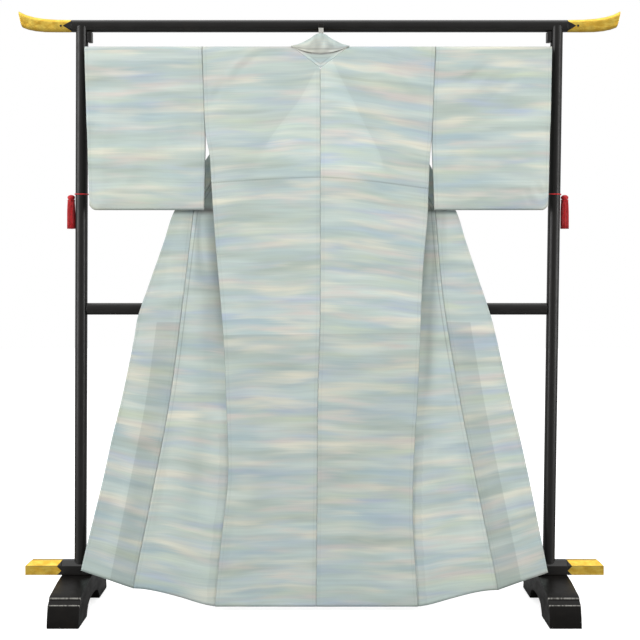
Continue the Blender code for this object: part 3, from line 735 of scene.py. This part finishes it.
class Finish:
    """A node material, put together from short calls."""

    def __init__(self, name):
        self.material = bpy.data.materials.new(name)
        self.material.use_nodes = True
        self.tree = self.material.node_tree
        self.surface = self.tree.nodes["Principled BSDF"]

    def put(self, kind, inputs, output=0, **settings):
        """Adds a node, sets or joins its inputs, and gives back one of its outputs."""
        node = self.tree.nodes.new("ShaderNode" + kind)
        for key, value in settings.items():
            setattr(node, key, value)
        for key, value in inputs.items():
            if isinstance(value, bpy.types.NodeSocket):
                self.tree.links.new(value, node.inputs[key])
            else:
                node.inputs[key].default_value = value
        return node.outputs[output]

    def math(self, operation, a, b=0.0):
        return self.put("Math", {0: a, 1: b}, operation=operation)

    def times(self, first, *others):
        """The product of some values."""
        for other in others:
            first = self.math("MULTIPLY", first, other)
        return first

    def away(self, value, centre=0.0):
        """How far a value is from a centre, on either side."""
        return self.math("ABSOLUTE", self.math("SUBTRACT", value, centre))

    def moved(self, vector, by):
        return self.put("VectorMath", {0: vector, 1: by}, operation="ADD")

    def clouds(self, vector, scale, detail=2.0, rough=0.5, twist=0.0):
        """Soft noise, with scale's number of clouds a metre along each axis."""
        scaled = self.put("Mapping", {"Vector": vector, "Scale": scale})
        settings = {"Scale": 1.0, "Detail": detail, "Roughness": rough, "Distortion": twist}
        return self.put("TexNoise", {"Vector": scaled, **settings})

    def ramp(self, value, low, high, start=0.0, end=1.0):
        """start below low, end above high, and a smooth change between."""
        return self.put(
            "MapRange",
            {"Value": value, "From Min": low, "From Max": high, "To Min": start, "To Max": end},
            interpolation_type="SMOOTHSTEP",
        )

    def mark(self, name):
        """What cloth() wrote on the silk's points under a name."""
        return self.put("Attribute", {}, output="Fac", attribute_name=name)

    def line(self, distance, centre, half, soft):
        """1 within half of centre, 0 outside, with soft edges."""
        return self.ramp(self.away(distance, centre), half, half + soft, 1.0, 0.0)

    def mix(self, share, a, b, blend="MIX"):
        return self.put("Mix", {0: share, 6: a, 7: b}, output=2, data_type="RGBA", blend_type=blend)

    def shaded(self, colour, share):
        """A colour made darker or lighter by a share."""
        grey = self.put("CombineColor", {k: share for k in range(3)})
        return self.mix(1.0, colour, grey, "MULTIPLY")

    def bump(self, height, distance, strength=1.0, under=None):
        inputs = {"Height": height, "Distance": distance, "Strength": strength}
        if under is not None:
            inputs["Normal"] = under
        return self.put("Bump", inputs)

    def finish(self, colour, roughness, normal=None, **plain):
        """Joins up the surface, sets its plain values, and gives back the material."""
        for key, value in {"Base Color": colour, "Roughness": roughness, "Normal": normal}.items():
            if isinstance(value, bpy.types.NodeSocket):
                self.tree.links.new(value, self.surface.inputs[key])
            elif value is not None:
                self.surface.inputs[key].default_value = value
        for key, value in plain.items():
            self.surface.inputs[key.replace("_", " ")].default_value = value
        return self.material


def tint(red, green, blue):
    """A colour from its display values, 0 to 255."""
    return (*(((v / 255 + 0.055) / 1.055) ** 2.4 for v in (red, green, blue)), 1.0)


Streak = namedtuple("Streak", "colour along across place low high most")
STREAKS = [  # the dyed clouds: how many a metre along and across, and how much of the cloth they cover
    Streak(tint(184, 197, 186), 2.5, 15.1, 11.0, 0.42, 0.74, 0.90),
    Streak(tint(180, 203, 210), 2.8, 17.6, 23.0, 0.44, 0.76, 0.85),
    Streak(tint(191, 205, 222), 3.9, 22.7, 37.0, 0.46, 0.78, 0.95),
    Streak(tint(218, 228, 204), 3.4, 21.8, 97.0, 0.48, 0.78, 0.80),
    Streak(tint(220, 231, 224), 3.1, 20.2, 83.0, 0.46, 0.76, 0.90),
    Streak(tint(228, 219, 211), 4.7, 28.6, 51.0, 0.48, 0.78, 0.80),
    Streak(tint(242, 239, 220), 3.9, 23.5, 67.0, 0.48, 0.80, 0.95),
]


def streaked_colour(f, cloth_uv):
    """Green-grey and blue-grey grounds, the dyed clouds over them, and uneven weft threads."""
    wander = f.math("SUBTRACT", f.clouds(cloth_uv, (4.5, 5.0, 1.0), 1.0), 0.5)
    smooth = f.moved(cloth_uv, f.put("CombineXYZ", {1: f.times(wander, 0.024)}))
    jump = f.math("SUBTRACT", f.clouds(smooth, (3.0, 330.0, 1.0), 2.0), 0.5)
    fringed = f.moved(smooth, f.put("CombineXYZ", {0: f.times(jump, 0.085)}))
    ground = f.ramp(f.clouds(fringed, (2.0, 11.0, 1.0), 2.0), 0.36, 0.64)
    colour = f.mix(ground, tint(204, 219, 211), tint(197, 214, 213))
    for streak in STREAKS:
        read = f.moved(fringed, (streak.place, streak.place * 0.7, 0.0))
        clouds = f.clouds(read, (streak.along, streak.across, 1.0), 2.2)
        colour = f.mix(f.ramp(clouds, streak.low, streak.high, 0.0, streak.most), colour, streak.colour)
    broad = f.ramp(f.clouds(fringed, (2.4, 26.0, 1.0), 2.0), 0.28, 0.72, 0.945, 1.050)
    brushed = f.ramp(f.clouds(fringed, (6.0, 130.0, 1.0), 2.0), 0.25, 0.75, 0.965, 1.035)
    threads = f.ramp(f.clouds(fringed, (5.0, 520.0, 1.0), 2.0), 0.2, 0.8, 0.97, 1.03)
    for share in (broad, brushed, threads):
        colour = f.shaded(colour, share)
    return colour


def sewn_shade(f, cloth_uv, stitch):
    """The painted shade of doubled silk, and the lines of seams, tuck and hem, some of which are painted
    shade.
    """
    seam_gap, tuck_gap = f.mark("seam"), f.mark("tuck")
    deep = f.ramp(f.mark("deep"), -0.0040, 0.0, 1.06, 1.0)
    strip = f.ramp(f.mark("strip"), -0.0012, 0.0012, 1.0, 0.86)
    # Painted shade where the seam allowance doubles the silk beside a seam.
    seam_allowance_shade = f.ramp(seam_gap, 0.0095, 0.0115, 0.975, 1.0)
    shade = f.times(f.mark("tone"), deep, strip, seam_allowance_shade)
    along = f.put("SeparateXYZ", {0: cloth_uv})
    dashes = f.ramp(f.math("SINE", f.times(along, math.tau / 0.0072)), -0.5, 0.5, 0.25, 1.0)
    twin = f.mark("twin")
    # The tuck's dark dashes are a painted shadow under its ledge and puckers, with faint painted shade just
    # above it; the lines about a centimetre off a seam are painted shade of the doubled silk's edge.
    lines = [  # each line, and how dark it is
        (stitch, 0.16),
        (f.line(seam_gap, 0.0105, 0.0004, 0.0010), 0.05),
        (f.times(f.line(tuck_gap, -0.0012, 0.0009, 0.0018), dashes), 0.24),
        (f.line(tuck_gap, 0.009, 0.009, 0.0016), 0.02),
        (f.line(f.mark("hem"), 0.078, 0.0005, 0.0012), 0.05),
        (f.times(twin, f.line(seam_gap, 0.0115, 0.0006, 0.0018)), 0.22),
        (f.times(twin, f.line(seam_gap, 0.0, 0.0006, 0.0018)), 0.18),
    ]
    for line, dark in lines:
        shade = f.times(shade, f.math("SUBTRACT", 1.0, f.times(line, dark)))
    return shade


def silk_finish():
    """Pale green-blue crepe with soft streaks across the cloth, seams, and shade where it is doubled."""
    f = Finish("streaked_silk")
    cloth_uv = f.put("UVMap", {}, uv_map="cloth")
    stitch = f.line(f.mark("seam"), 0.0, 0.0004, 0.0012)
    colour = f.shaded(streaked_colour(f, cloth_uv), sewn_shade(f, cloth_uv, stitch))
    bands = {"Vector": cloth_uv, "Scale": 380.0, "Distortion": 1.5, "Detail": 1.0, "Detail Scale": 2.0}
    weft = f.put("TexWave", bands, output=1, bands_direction="Y")
    normal = f.bump(f.clouds(cloth_uv, (900.0, 1500.0, 1.0), 2.0), 0.00012, 0.6)
    normal = f.bump(weft, 0.00008, 0.4, normal)
    normal = f.bump(f.clouds(cloth_uv, (60.0, 180.0, 1.0), 2.0), 0.00045, 0.5, normal)
    normal = f.bump(f.math("SUBTRACT", 1.0, stitch), 0.0008, 0.6, normal)
    rough = f.ramp(f.clouds(cloth_uv, (30.0, 90.0, 1.0), 2.0), 0.3, 0.7, 0.50, 0.66)
    sheen = {"Sheen_Weight": 0.25, "Sheen_Roughness": 0.4}
    return f.finish(colour, rough, normal, Specular_IOR_Level=0.28, **sheen)


# Painted highlights along the edges of a foot's two steps.
FOOT_HIGHLIGHTS = [(0.2124, 0.0004, 0.0006), (0.2322, 0.0006, 0.0010)]  # place, half width, softness
FOOT_HIGHLIGHTS_LOW = 0.052  # they lie above this height


def painted_edge_highlights(f, place):
    """Painted highlights: pale, broken lines along the edges of a foot's two steps, where they catch the
    light.
    """
    along, height = (f.put("SeparateXYZ", {0: place}, output=k) for k in (1, 2))
    lines = [f.line(f.away(along), *edge) for edge in FOOT_HIGHLIGHTS]
    broken = f.ramp(f.clouds(place, (160.0, 1.0, 1.0), 3.0, 0.6), 0.35, 0.60, 0.25, 1.0)
    upper = f.ramp(height, FOOT_HIGHLIGHTS_LOW, FOOT_HIGHLIGHTS_LOW + 0.004)
    return f.times(f.math("MAXIMUM", *lines), broken, upper)


def lacquer_finish(name, rough_low, rough_high, shine, foot=False):
    """Deep black lacquer, a little brown where it is thin on the edges, with faint dust and waves."""
    f = Finish(name)
    place = f.put("TexCoord", {}, output="Object")
    dust = f.clouds(place, (260.0, 260.0, 260.0), 3.0, 0.6)
    wear = f.ramp(f.clouds(place, (9.0, 9.0, 9.0), 4.0, 0.6), 0.52, 0.75, 0.0, 0.5)
    colour = f.mix(f.ramp(dust, 0.66, 0.78, 0.0, 0.30), tint(15, 13, 11), tint(44, 42, 38))
    colour = f.mix(wear, colour, tint(30, 25, 20))
    # Painted highlights: pale lines along a foot's step edges.
    if foot:
        colour = f.mix(painted_edge_highlights(f, place), colour, tint(150, 148, 142))
    rough = f.ramp(f.clouds(place, (14.0, 14.0, 40.0), 4.0, 0.6), 0.3, 0.7, rough_low, rough_high)
    normal = f.bump(f.clouds(place, (30.0, 30.0, 30.0), 2.0), 0.0003, 0.10)
    normal = f.bump(dust, 0.00005, 0.2, normal)
    coat = {"Coat_Weight": 0.5 * shine, "Coat_Roughness": 0.20}
    return f.finish(colour, rough, normal, Specular_IOR_Level=shine, **coat)


def top_border(f, x, z):
    """Where a top end is black: a V that runs out to a point, and a knot past it."""
    out, off = f.math("SUBTRACT", f.away(x), TOP_BLACK), f.away(z, TOP_BORDER_Z)
    point = f.ramp(f.math("ADD", out, f.times(off, 1.7)), 0.0235, 0.0245, 1.0, 0.0)
    past = f.math("POWER", f.math("SUBTRACT", out, 0.0290), 2.0)
    knot = f.math("ADD", past, f.math("POWER", off, 2.0))
    return f.math("MAXIMUM", point, f.ramp(knot, 0.0000105, 0.0000125, 1.0, 0.0))


def base_border(f, x, z):
    """Where a base end is black: a notch in its front face and a slope on its hip, with a dark line painted
    along the edge between them for the shadow there.
    """
    out = f.math("SUBTRACT", f.away(x, BASE_X), BASE_BLACK)
    notch = f.math("SUBTRACT", out, f.away(z, BASE_NOTCH_Z))
    slope = f.math("SUBTRACT", out, f.times(f.math("SUBTRACT", BASE_TOP, z), 0.9))
    upper = f.math("GREATER_THAN", z, BASE_SHOULDER + 0.0003)
    lower = f.math("SUBTRACT", 1.0, upper)
    edge = f.math("ADD", f.times(upper, slope), f.times(lower, notch))
    # Painted shadow: a dark line along the shoulder between the two faces.
    shoulder_shadow = f.times(f.line(z, BASE_SHOULDER + 0.0002, 0.0004, 0.0008), 0.8)
    return f.math("MAXIMUM", f.ramp(edge, -0.0005, 0.0005, 1.0, 0.0), shoulder_shadow)


def gold_finish(name, border):
    """Gold-coloured metal with a soft, slightly pitted surface, and the black lacquer's notched border."""
    f = Finish(name)
    place = f.put("TexCoord", {}, output="Object")
    patch = f.ramp(f.clouds(place, (38.0, 70.0, 90.0), 4.0, 0.6), 0.35, 0.65)
    pits = f.clouds(place, (420.0, 420.0, 420.0), 3.0, 0.6)
    colour = f.mix(patch, tint(234, 188, 70), tint(250, 216, 98))
    colour = f.mix(f.ramp(pits, 0.60, 0.74, 0.0, 0.45), colour, tint(176, 128, 44))
    rough = f.ramp(f.clouds(place, (60.0, 60.0, 60.0), 3.0), 0.3, 0.7, 0.30, 0.50)
    normal = f.bump(pits, 0.00012, 0.5)
    normal = f.bump(f.clouds(place, (70.0, 70.0, 70.0), 2.0), 0.0006, 0.35, normal)
    x, z = (f.put("SeparateXYZ", {0: place}, output=k) for k in (0, 2))
    black = border(f, x, z)
    metal = f.times(f.math("SUBTRACT", 1.0, black), 0.85)
    f.tree.links.new(metal, f.surface.inputs["Metallic"])
    return f.finish(f.mix(black, colour, tint(16, 14, 12)), rough, normal)


def metal_finish():
    """Drawn steel, dark where the hook goes up into the bar."""
    f = Finish("hook_steel")
    place = f.put("TexCoord", {}, output="Object")
    drawn = f.clouds(place, (900.0, 900.0, 60.0), 2.0)
    colour = f.mix(f.ramp(drawn, 0.3, 0.7), tint(206, 205, 198), tint(228, 227, 220))
    height = f.put("SeparateXYZ", {0: place}, output=2)
    colour = f.mix(f.ramp(height, 1.6865, 1.6885), colour, tint(34, 32, 29))
    rough = f.ramp(drawn, 0.3, 0.7, 0.28, 0.42)
    return f.finish(colour, rough, f.bump(drawn, 0.00005, 0.5), Metallic=0.45)


def wood_finish():
    """Plain planed wood, with its grain along the rod."""
    f = Finish("rod_wood")
    place = f.put("TexCoord", {}, output="Object")
    grain = f.clouds(place, (6.0, 240.0, 240.0), 4.0, 0.6, 0.4)
    colour = f.mix(f.ramp(grain, 0.3, 0.7), tint(176, 138, 98), tint(206, 172, 128))
    return f.finish(colour, f.ramp(grain, 0.3, 0.7, 0.45, 0.60), f.bump(grain, 0.0002, 0.5))


def thread_finish():
    """Twisted red silk thread."""
    f = Finish("red_thread")
    place = f.put("TexCoord", {}, output="Object")
    strand = f.clouds(place, (900.0, 900.0, 120.0), 2.0)
    colour = f.mix(f.ramp(strand, 0.35, 0.65), tint(176, 6, 16), tint(232, 18, 30))
    rough = f.ramp(strand, 0.3, 0.7, 0.50, 0.75)
    return f.finish(colour, rough, f.bump(strand, 0.0003, 0.6), Sheen_Weight=0.35)


def sewing_finish():
    """Pale sewing thread."""
    f = Finish("sewing_thread")
    place = f.put("TexCoord", {}, output="Object")
    twist = f.clouds(place, (2500.0, 2500.0, 2500.0), 1.0)
    colour = f.mix(f.ramp(twist, 0.35, 0.65), tint(150, 168, 168), tint(176, 192, 190))
    return f.finish(colour, f.ramp(twist, 0.3, 0.7, 0.55, 0.7), f.bump(twist, 0.0001, 0.5))


def floor_finish():
    """A pale floor that glows a little, and throws back less light than it shows."""
    f = Finish("studio_floor")
    place = f.put("TexCoord", {}, output="Object")
    patches = f.ramp(f.clouds(place, (0.8, 0.8, 0.8), 2.0), 0.3, 0.7)
    seen = f.put("LightPath", {})
    colour = f.mix(seen, tint(150, 150, 150), f.mix(patches, tint(247, 247, 247), tint(249, 249, 249)))
    f.tree.links.new(f.times(seen, 0.66), f.surface.inputs["Emission Strength"])
    return f.finish(colour, 0.9, Specular_IOR_Level=0.0, Emission_Color=(1.0, 1.0, 1.0, 1.0))


silk = silk_finish()
lacquer = lacquer_finish("black_lacquer", 0.28, 0.40, 0.46)
post_lacquer = lacquer_finish("black_lacquer_posts", 0.42, 0.54, 0.36)
foot_lacquer = lacquer_finish("black_lacquer_feet", 0.34, 0.46, 0.14, True)
top_gold = gold_finish("gold_metal_top", top_border)
base_gold = gold_finish("gold_metal_base", base_border)
steel = metal_finish()
rod_wood = wood_finish()
red_thread = thread_finish()
sewing = sewing_finish()


# ---------------------------------------------------------------- the stand


SHARP = math.radians(40)  # an edge that turns more than this is eased
BINDING_TURNS, SKIRT_THREADS = 4, 220
GOLDEN_ANGLE = 2.39996  # spreads the skirt's threads evenly over its round


def eased(name, node, look, width=0.0010):
    """A CAD node's shape with its edges eased, which stands for that node."""
    bm = bmesh.new()
    bm.from_mesh(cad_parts[node].data)
    bm.transform(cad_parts[node].matrix_world)
    bmesh.ops.remove_doubles(bm, verts=bm.verts, dist=2e-5)
    bmesh.ops.dissolve_limit(bm, angle_limit=math.radians(1.0), verts=bm.verts, edges=bm.edges)
    for face in bm.faces:
        face.smooth = True
    for edge in bm.edges:
        edge.smooth = edge.calc_face_angle(0) < SHARP
    mesh = bpy.data.meshes.new(name)
    bm.to_mesh(mesh)
    bm.free()
    made = bpy.data.objects.new(name, mesh)
    bpy.context.scene.collection.objects.link(made)
    bevel = made.modifiers.new("eased", "BEVEL")
    bevel.width = width
    bevel.segments = 3
    bevel.limit_method = "ANGLE"
    bevel.angle_limit = SHARP
    bevel.harden_normals = True
    mesh.materials.append(look)
    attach(made, "root")
    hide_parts(node)
    return made


def stand():
    """The lacquered frame with its gold ends, the hook and the rod."""
    for node in ("top_bar", "middle_bar", "base_bar"):
        eased(f"lacquered_{node}", node, lacquer)
    for side in SIDES:
        eased(f"lacquered_post_{side}", f"post_{side}", post_lacquer, 0.0016)
        eased(f"lacquered_foot_{side}", f"foot_{side}", foot_lacquer, 0.0016)
        eased(f"lacquered_bracket_{side}", f"bracket_{side}", lacquer, 0.0016)
        eased(f"gold_top_end_{side}", f"top_end_{side}", top_gold, 0.0012)
        eased(f"gold_base_end_{side}", f"base_end_{side}", base_gold, 0.0012)
    eased("steel_rod_hook", "rod_hook", steel, 0.0006)
    eased("wooden_sleeve_rod", "sleeve_rod", rod_wood, 0.0008)


def strand(bm, points, radius, sides):
    """A round thread through some points: a circle extruded along them."""
    ring = bmesh.ops.create_circle(bm, segments=sides, radius=radius)["verts"]
    edges = list({edge for vert in ring for edge in vert.link_edges})
    start = Vector(points[0])
    direction = (Vector(points[1]) - start).normalized()
    turn = direction.to_track_quat("Z", "Y").to_matrix().to_4x4()
    bmesh.ops.transform(bm, matrix=Matrix.Translation(start) @ turn, verts=ring)
    first = list(ring)
    for before, here in zip(points, points[1:]):
        made = bmesh.ops.extrude_edge_only(bm, edges=edges)["geom"]
        ring = [g for g in made if isinstance(g, bmesh.types.BMVert)]
        edges = [g for g in made if isinstance(g, bmesh.types.BMEdge)]
        bmesh.ops.translate(bm, vec=Vector(here) - Vector(before), verts=ring)
    for verts in (first, ring):
        bmesh.ops.contextual_create(bm, geom=verts)


def finished(name, bm, look, slot, *replaced):
    """A piece from its finished mesh, with its finish, and the CAD nodes that it stands for."""
    bmesh.ops.recalc_face_normals(bm, faces=bm.faces)
    for face in bm.faces:
        face.smooth = True
    mesh = bpy.data.meshes.new(name)
    bm.to_mesh(mesh)
    bm.free()
    made = bpy.data.objects.new(name, mesh)
    bpy.context.scene.collection.objects.link(made)
    mesh.materials.append(look)
    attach(made, "root")
    if replaced:
        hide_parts(*replaced)
    return made


def wound(centre, wide, deep, top, turns, drop, steps, power=1.0):
    """Points of a thread wound round an upright core, square-cornered where power is under 1."""
    points = []
    for k in range(turns * steps + 1):
        angle = math.tau * k / steps
        x, y = (math.copysign(abs(c) ** power, c) for c in (math.cos(angle), math.sin(angle)))
        points.append((centre.x + wide * x, centre.y + deep * y, top - drop * k / steps))
    return points


def tassel(side, sign):
    """A bound head with a skirt of loose threads, from the CAD tassel's box."""
    low, high = (Vector(v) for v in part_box(f"tassel_{side}"))
    centre, half = (low + high) / 2, (high.x - low.x) / 2
    bm = bmesh.new()
    bmesh.ops.create_uvsphere(bm, u_segments=20, v_segments=12, radius=1.0)
    bmesh.ops.scale(bm, vec=(0.0112, 0.0112, 0.0080), verts=bm.verts)
    bmesh.ops.translate(bm, vec=(centre.x, centre.y, high.z - 0.0075), verts=bm.verts)
    finished(f"tassel_head_{side}", bm, red_thread, "red_silk_thread")

    bm = bmesh.new()
    for turn in range(BINDING_TURNS):
        ring = wound(centre, 0.0106, 0.0106, high.z - 0.0142 - 0.0011 * turn, 1, 0.0, 16)
        strand(bm, ring, 0.0007, 6)
    finished(f"tassel_binding_{side}", bm, red_thread, "red_silk_thread")

    bm = bmesh.new()
    for k in range(SKIRT_THREADS):
        angle, out = GOLDEN_ANGLE * k, math.sqrt((k + 0.5) / SKIRT_THREADS)
        sway = 0.0012 * noise.noise(Vector((k * 0.37, 0.5, 2.0 * sign)))
        short = 0.0015 + 0.0025 * abs(noise.noise(Vector((k * 1.7, 1.1, 0.0))))
        points = []
        for step in range(6):
            down = step / 5
            radius = out * lerp(0.0102, half, ease(down * 3.0) * 0.8 + 0.2 * down)
            x = centre.x + radius * math.cos(angle) + sway * down
            y = centre.y + radius * math.sin(angle) - sway * down
            points.append((x, y, lerp(high.z - 0.0165, low.z + short, down)))
        strand(bm, points, 0.00055, 5)
    finished(f"tassel_skirt_{side}", bm, red_thread, "red_silk_thread", f"tassel_{side}")


def tassel_cord(side):
    """Two turns of cord round the post."""
    low, high = (Vector(v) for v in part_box(f"tassel_cord_{side}"))
    wide, deep = (high.x - low.x) / 2 - 0.0013, (high.y - low.y) / 2 - 0.0013
    centre = (low + high) / 2
    bm = bmesh.new()
    strand(bm, wound(centre, wide, deep, centre.z + 0.0011, 2, 0.0011, 48, 0.72), 0.0011, 8)
    finished(f"red_cord_{side}", bm, red_thread, "red_silk_thread", f"tassel_cord_{side}")


# ---------------------------------------------------------------- stitches


def stitches():
    """Short running stitches along the tuck, on its left half."""
    bm = bmesh.new()
    for k in range(58):
        x, z = -0.296 + 0.0051 * k, TUCK_Z + 0.0035
        z -= weft_drop(x, TUCK_Z, "left")
        y = back_y(z) - relief(BACK_CREASES, x, z) * 0.9 - 0.0024
        half = 0.0008 + 0.0002 * noise.noise(Vector((k * 0.9, 0.0, 0.0)))
        x = shifted(x, z)
        points = [(x - half, y + 0.0004, z), (x, y, z + 0.0001), (x + half, y + 0.0004, z)]
        strand(bm, points, 0.00028, 5)
    finished("tuck_stitches", bm, sewing, "silk")


# ---------------------------------------------------------------- studio


def floor():
    """A wide, pale round floor."""
    bm = bmesh.new()
    bmesh.ops.create_circle(bm, cap_ends=True, segments=96, radius=14.0)
    mesh = bpy.data.meshes.new("studio_floor")
    bm.to_mesh(mesh)
    bm.free()
    made = bpy.data.objects.new("studio_floor", mesh)
    bpy.context.scene.collection.objects.link(made)
    mesh.materials.append(floor_finish())


def air():
    """Soft light from all round, stronger from above, in front of a white background."""
    world = bpy.data.worlds.new("studio_air")
    world.use_nodes = True
    tree = world.node_tree
    background = tree.nodes["Background"]
    background.inputs["Color"].default_value = (1.0, 1.0, 1.0, 1.0)
    direction = tree.nodes.new("ShaderNodeTexCoord")
    split = tree.nodes.new("ShaderNodeSeparateXYZ")
    tree.links.new(direction.outputs["Generated"], split.inputs[0])
    rise = tree.nodes.new("ShaderNodeMapRange")
    settings = {"From Min": 0.0, "From Max": 0.9, "To Min": 0.31, "To Max": 0.68}
    for key, value in settings.items():
        rise.inputs[key].default_value = value
    tree.links.new(split.outputs["Z"], rise.inputs["Value"])
    seen = tree.nodes.new("ShaderNodeLightPath")
    choice = tree.nodes.new("ShaderNodeMix")
    tree.links.new(seen.outputs["Is Camera Ray"], choice.inputs[0])
    tree.links.new(rise.outputs[0], choice.inputs[2])
    choice.inputs[3].default_value = 1.0
    tree.links.new(choice.outputs[0], background.inputs["Strength"])
    bpy.context.scene.world = world


def softbox(name, place, aim, size, power):
    """A large soft lamp at a place, turned to what it lights."""
    lamp = bpy.data.lights.new(name, "AREA")
    lamp.shape = "RECTANGLE"
    lamp.size, lamp.size_y = size
    lamp.energy = power
    made = bpy.data.objects.new(name, lamp)
    made.location = place
    made.rotation_euler = (Vector(aim) - Vector(place)).to_track_quat("-Z", "Y").to_euler()
    bpy.context.scene.collection.objects.link(made)


def camera():
    """A long lens in front of the kimono's back, tipped two degrees down."""
    lens = bpy.data.cameras.new("camera")
    lens.lens = 76.95
    lens.sensor_width = 36.0
    lens.clip_end = 60
    made = bpy.data.objects.new("camera", lens)
    made.location = (0.0015, -4.0, 0.986)
    made.rotation_euler = (math.radians(88), 0, 0)
    bpy.context.scene.collection.objects.link(made)
    bpy.context.scene.camera = made


def studio():
    floor()
    air()
    softbox("softbox_left", (-4.2, -2.8, 1.5), (0, 0, 0.8), (2.2, 3.6), 156)
    softbox("softbox_right", (4.2, -2.6, 1.4), (0, 0, 0.8), (2.0, 3.6), 126)
    softbox("softbox_over", (0.0, 0.2, 4.4), (0, 0, 0), (4.5, 4.0), 60)
    camera()
    bpy.context.scene.view_settings.view_transform = "Standard"


# ---------------------------------------------------------------- the whole

studio()
stand()
for side, sign in SIDES.items():
    body(side, sign, BODY_STREAKS[side])
    overlap(side, sign, EDGE_STREAKS[side])
    collar(side, sign, EDGE_STREAKS[side])
    sleeve(side, sign, SLEEVE_STREAKS[side])
    tassel(side, sign)
    tassel_cord(side)
collar_back()
gusset()
stitches()
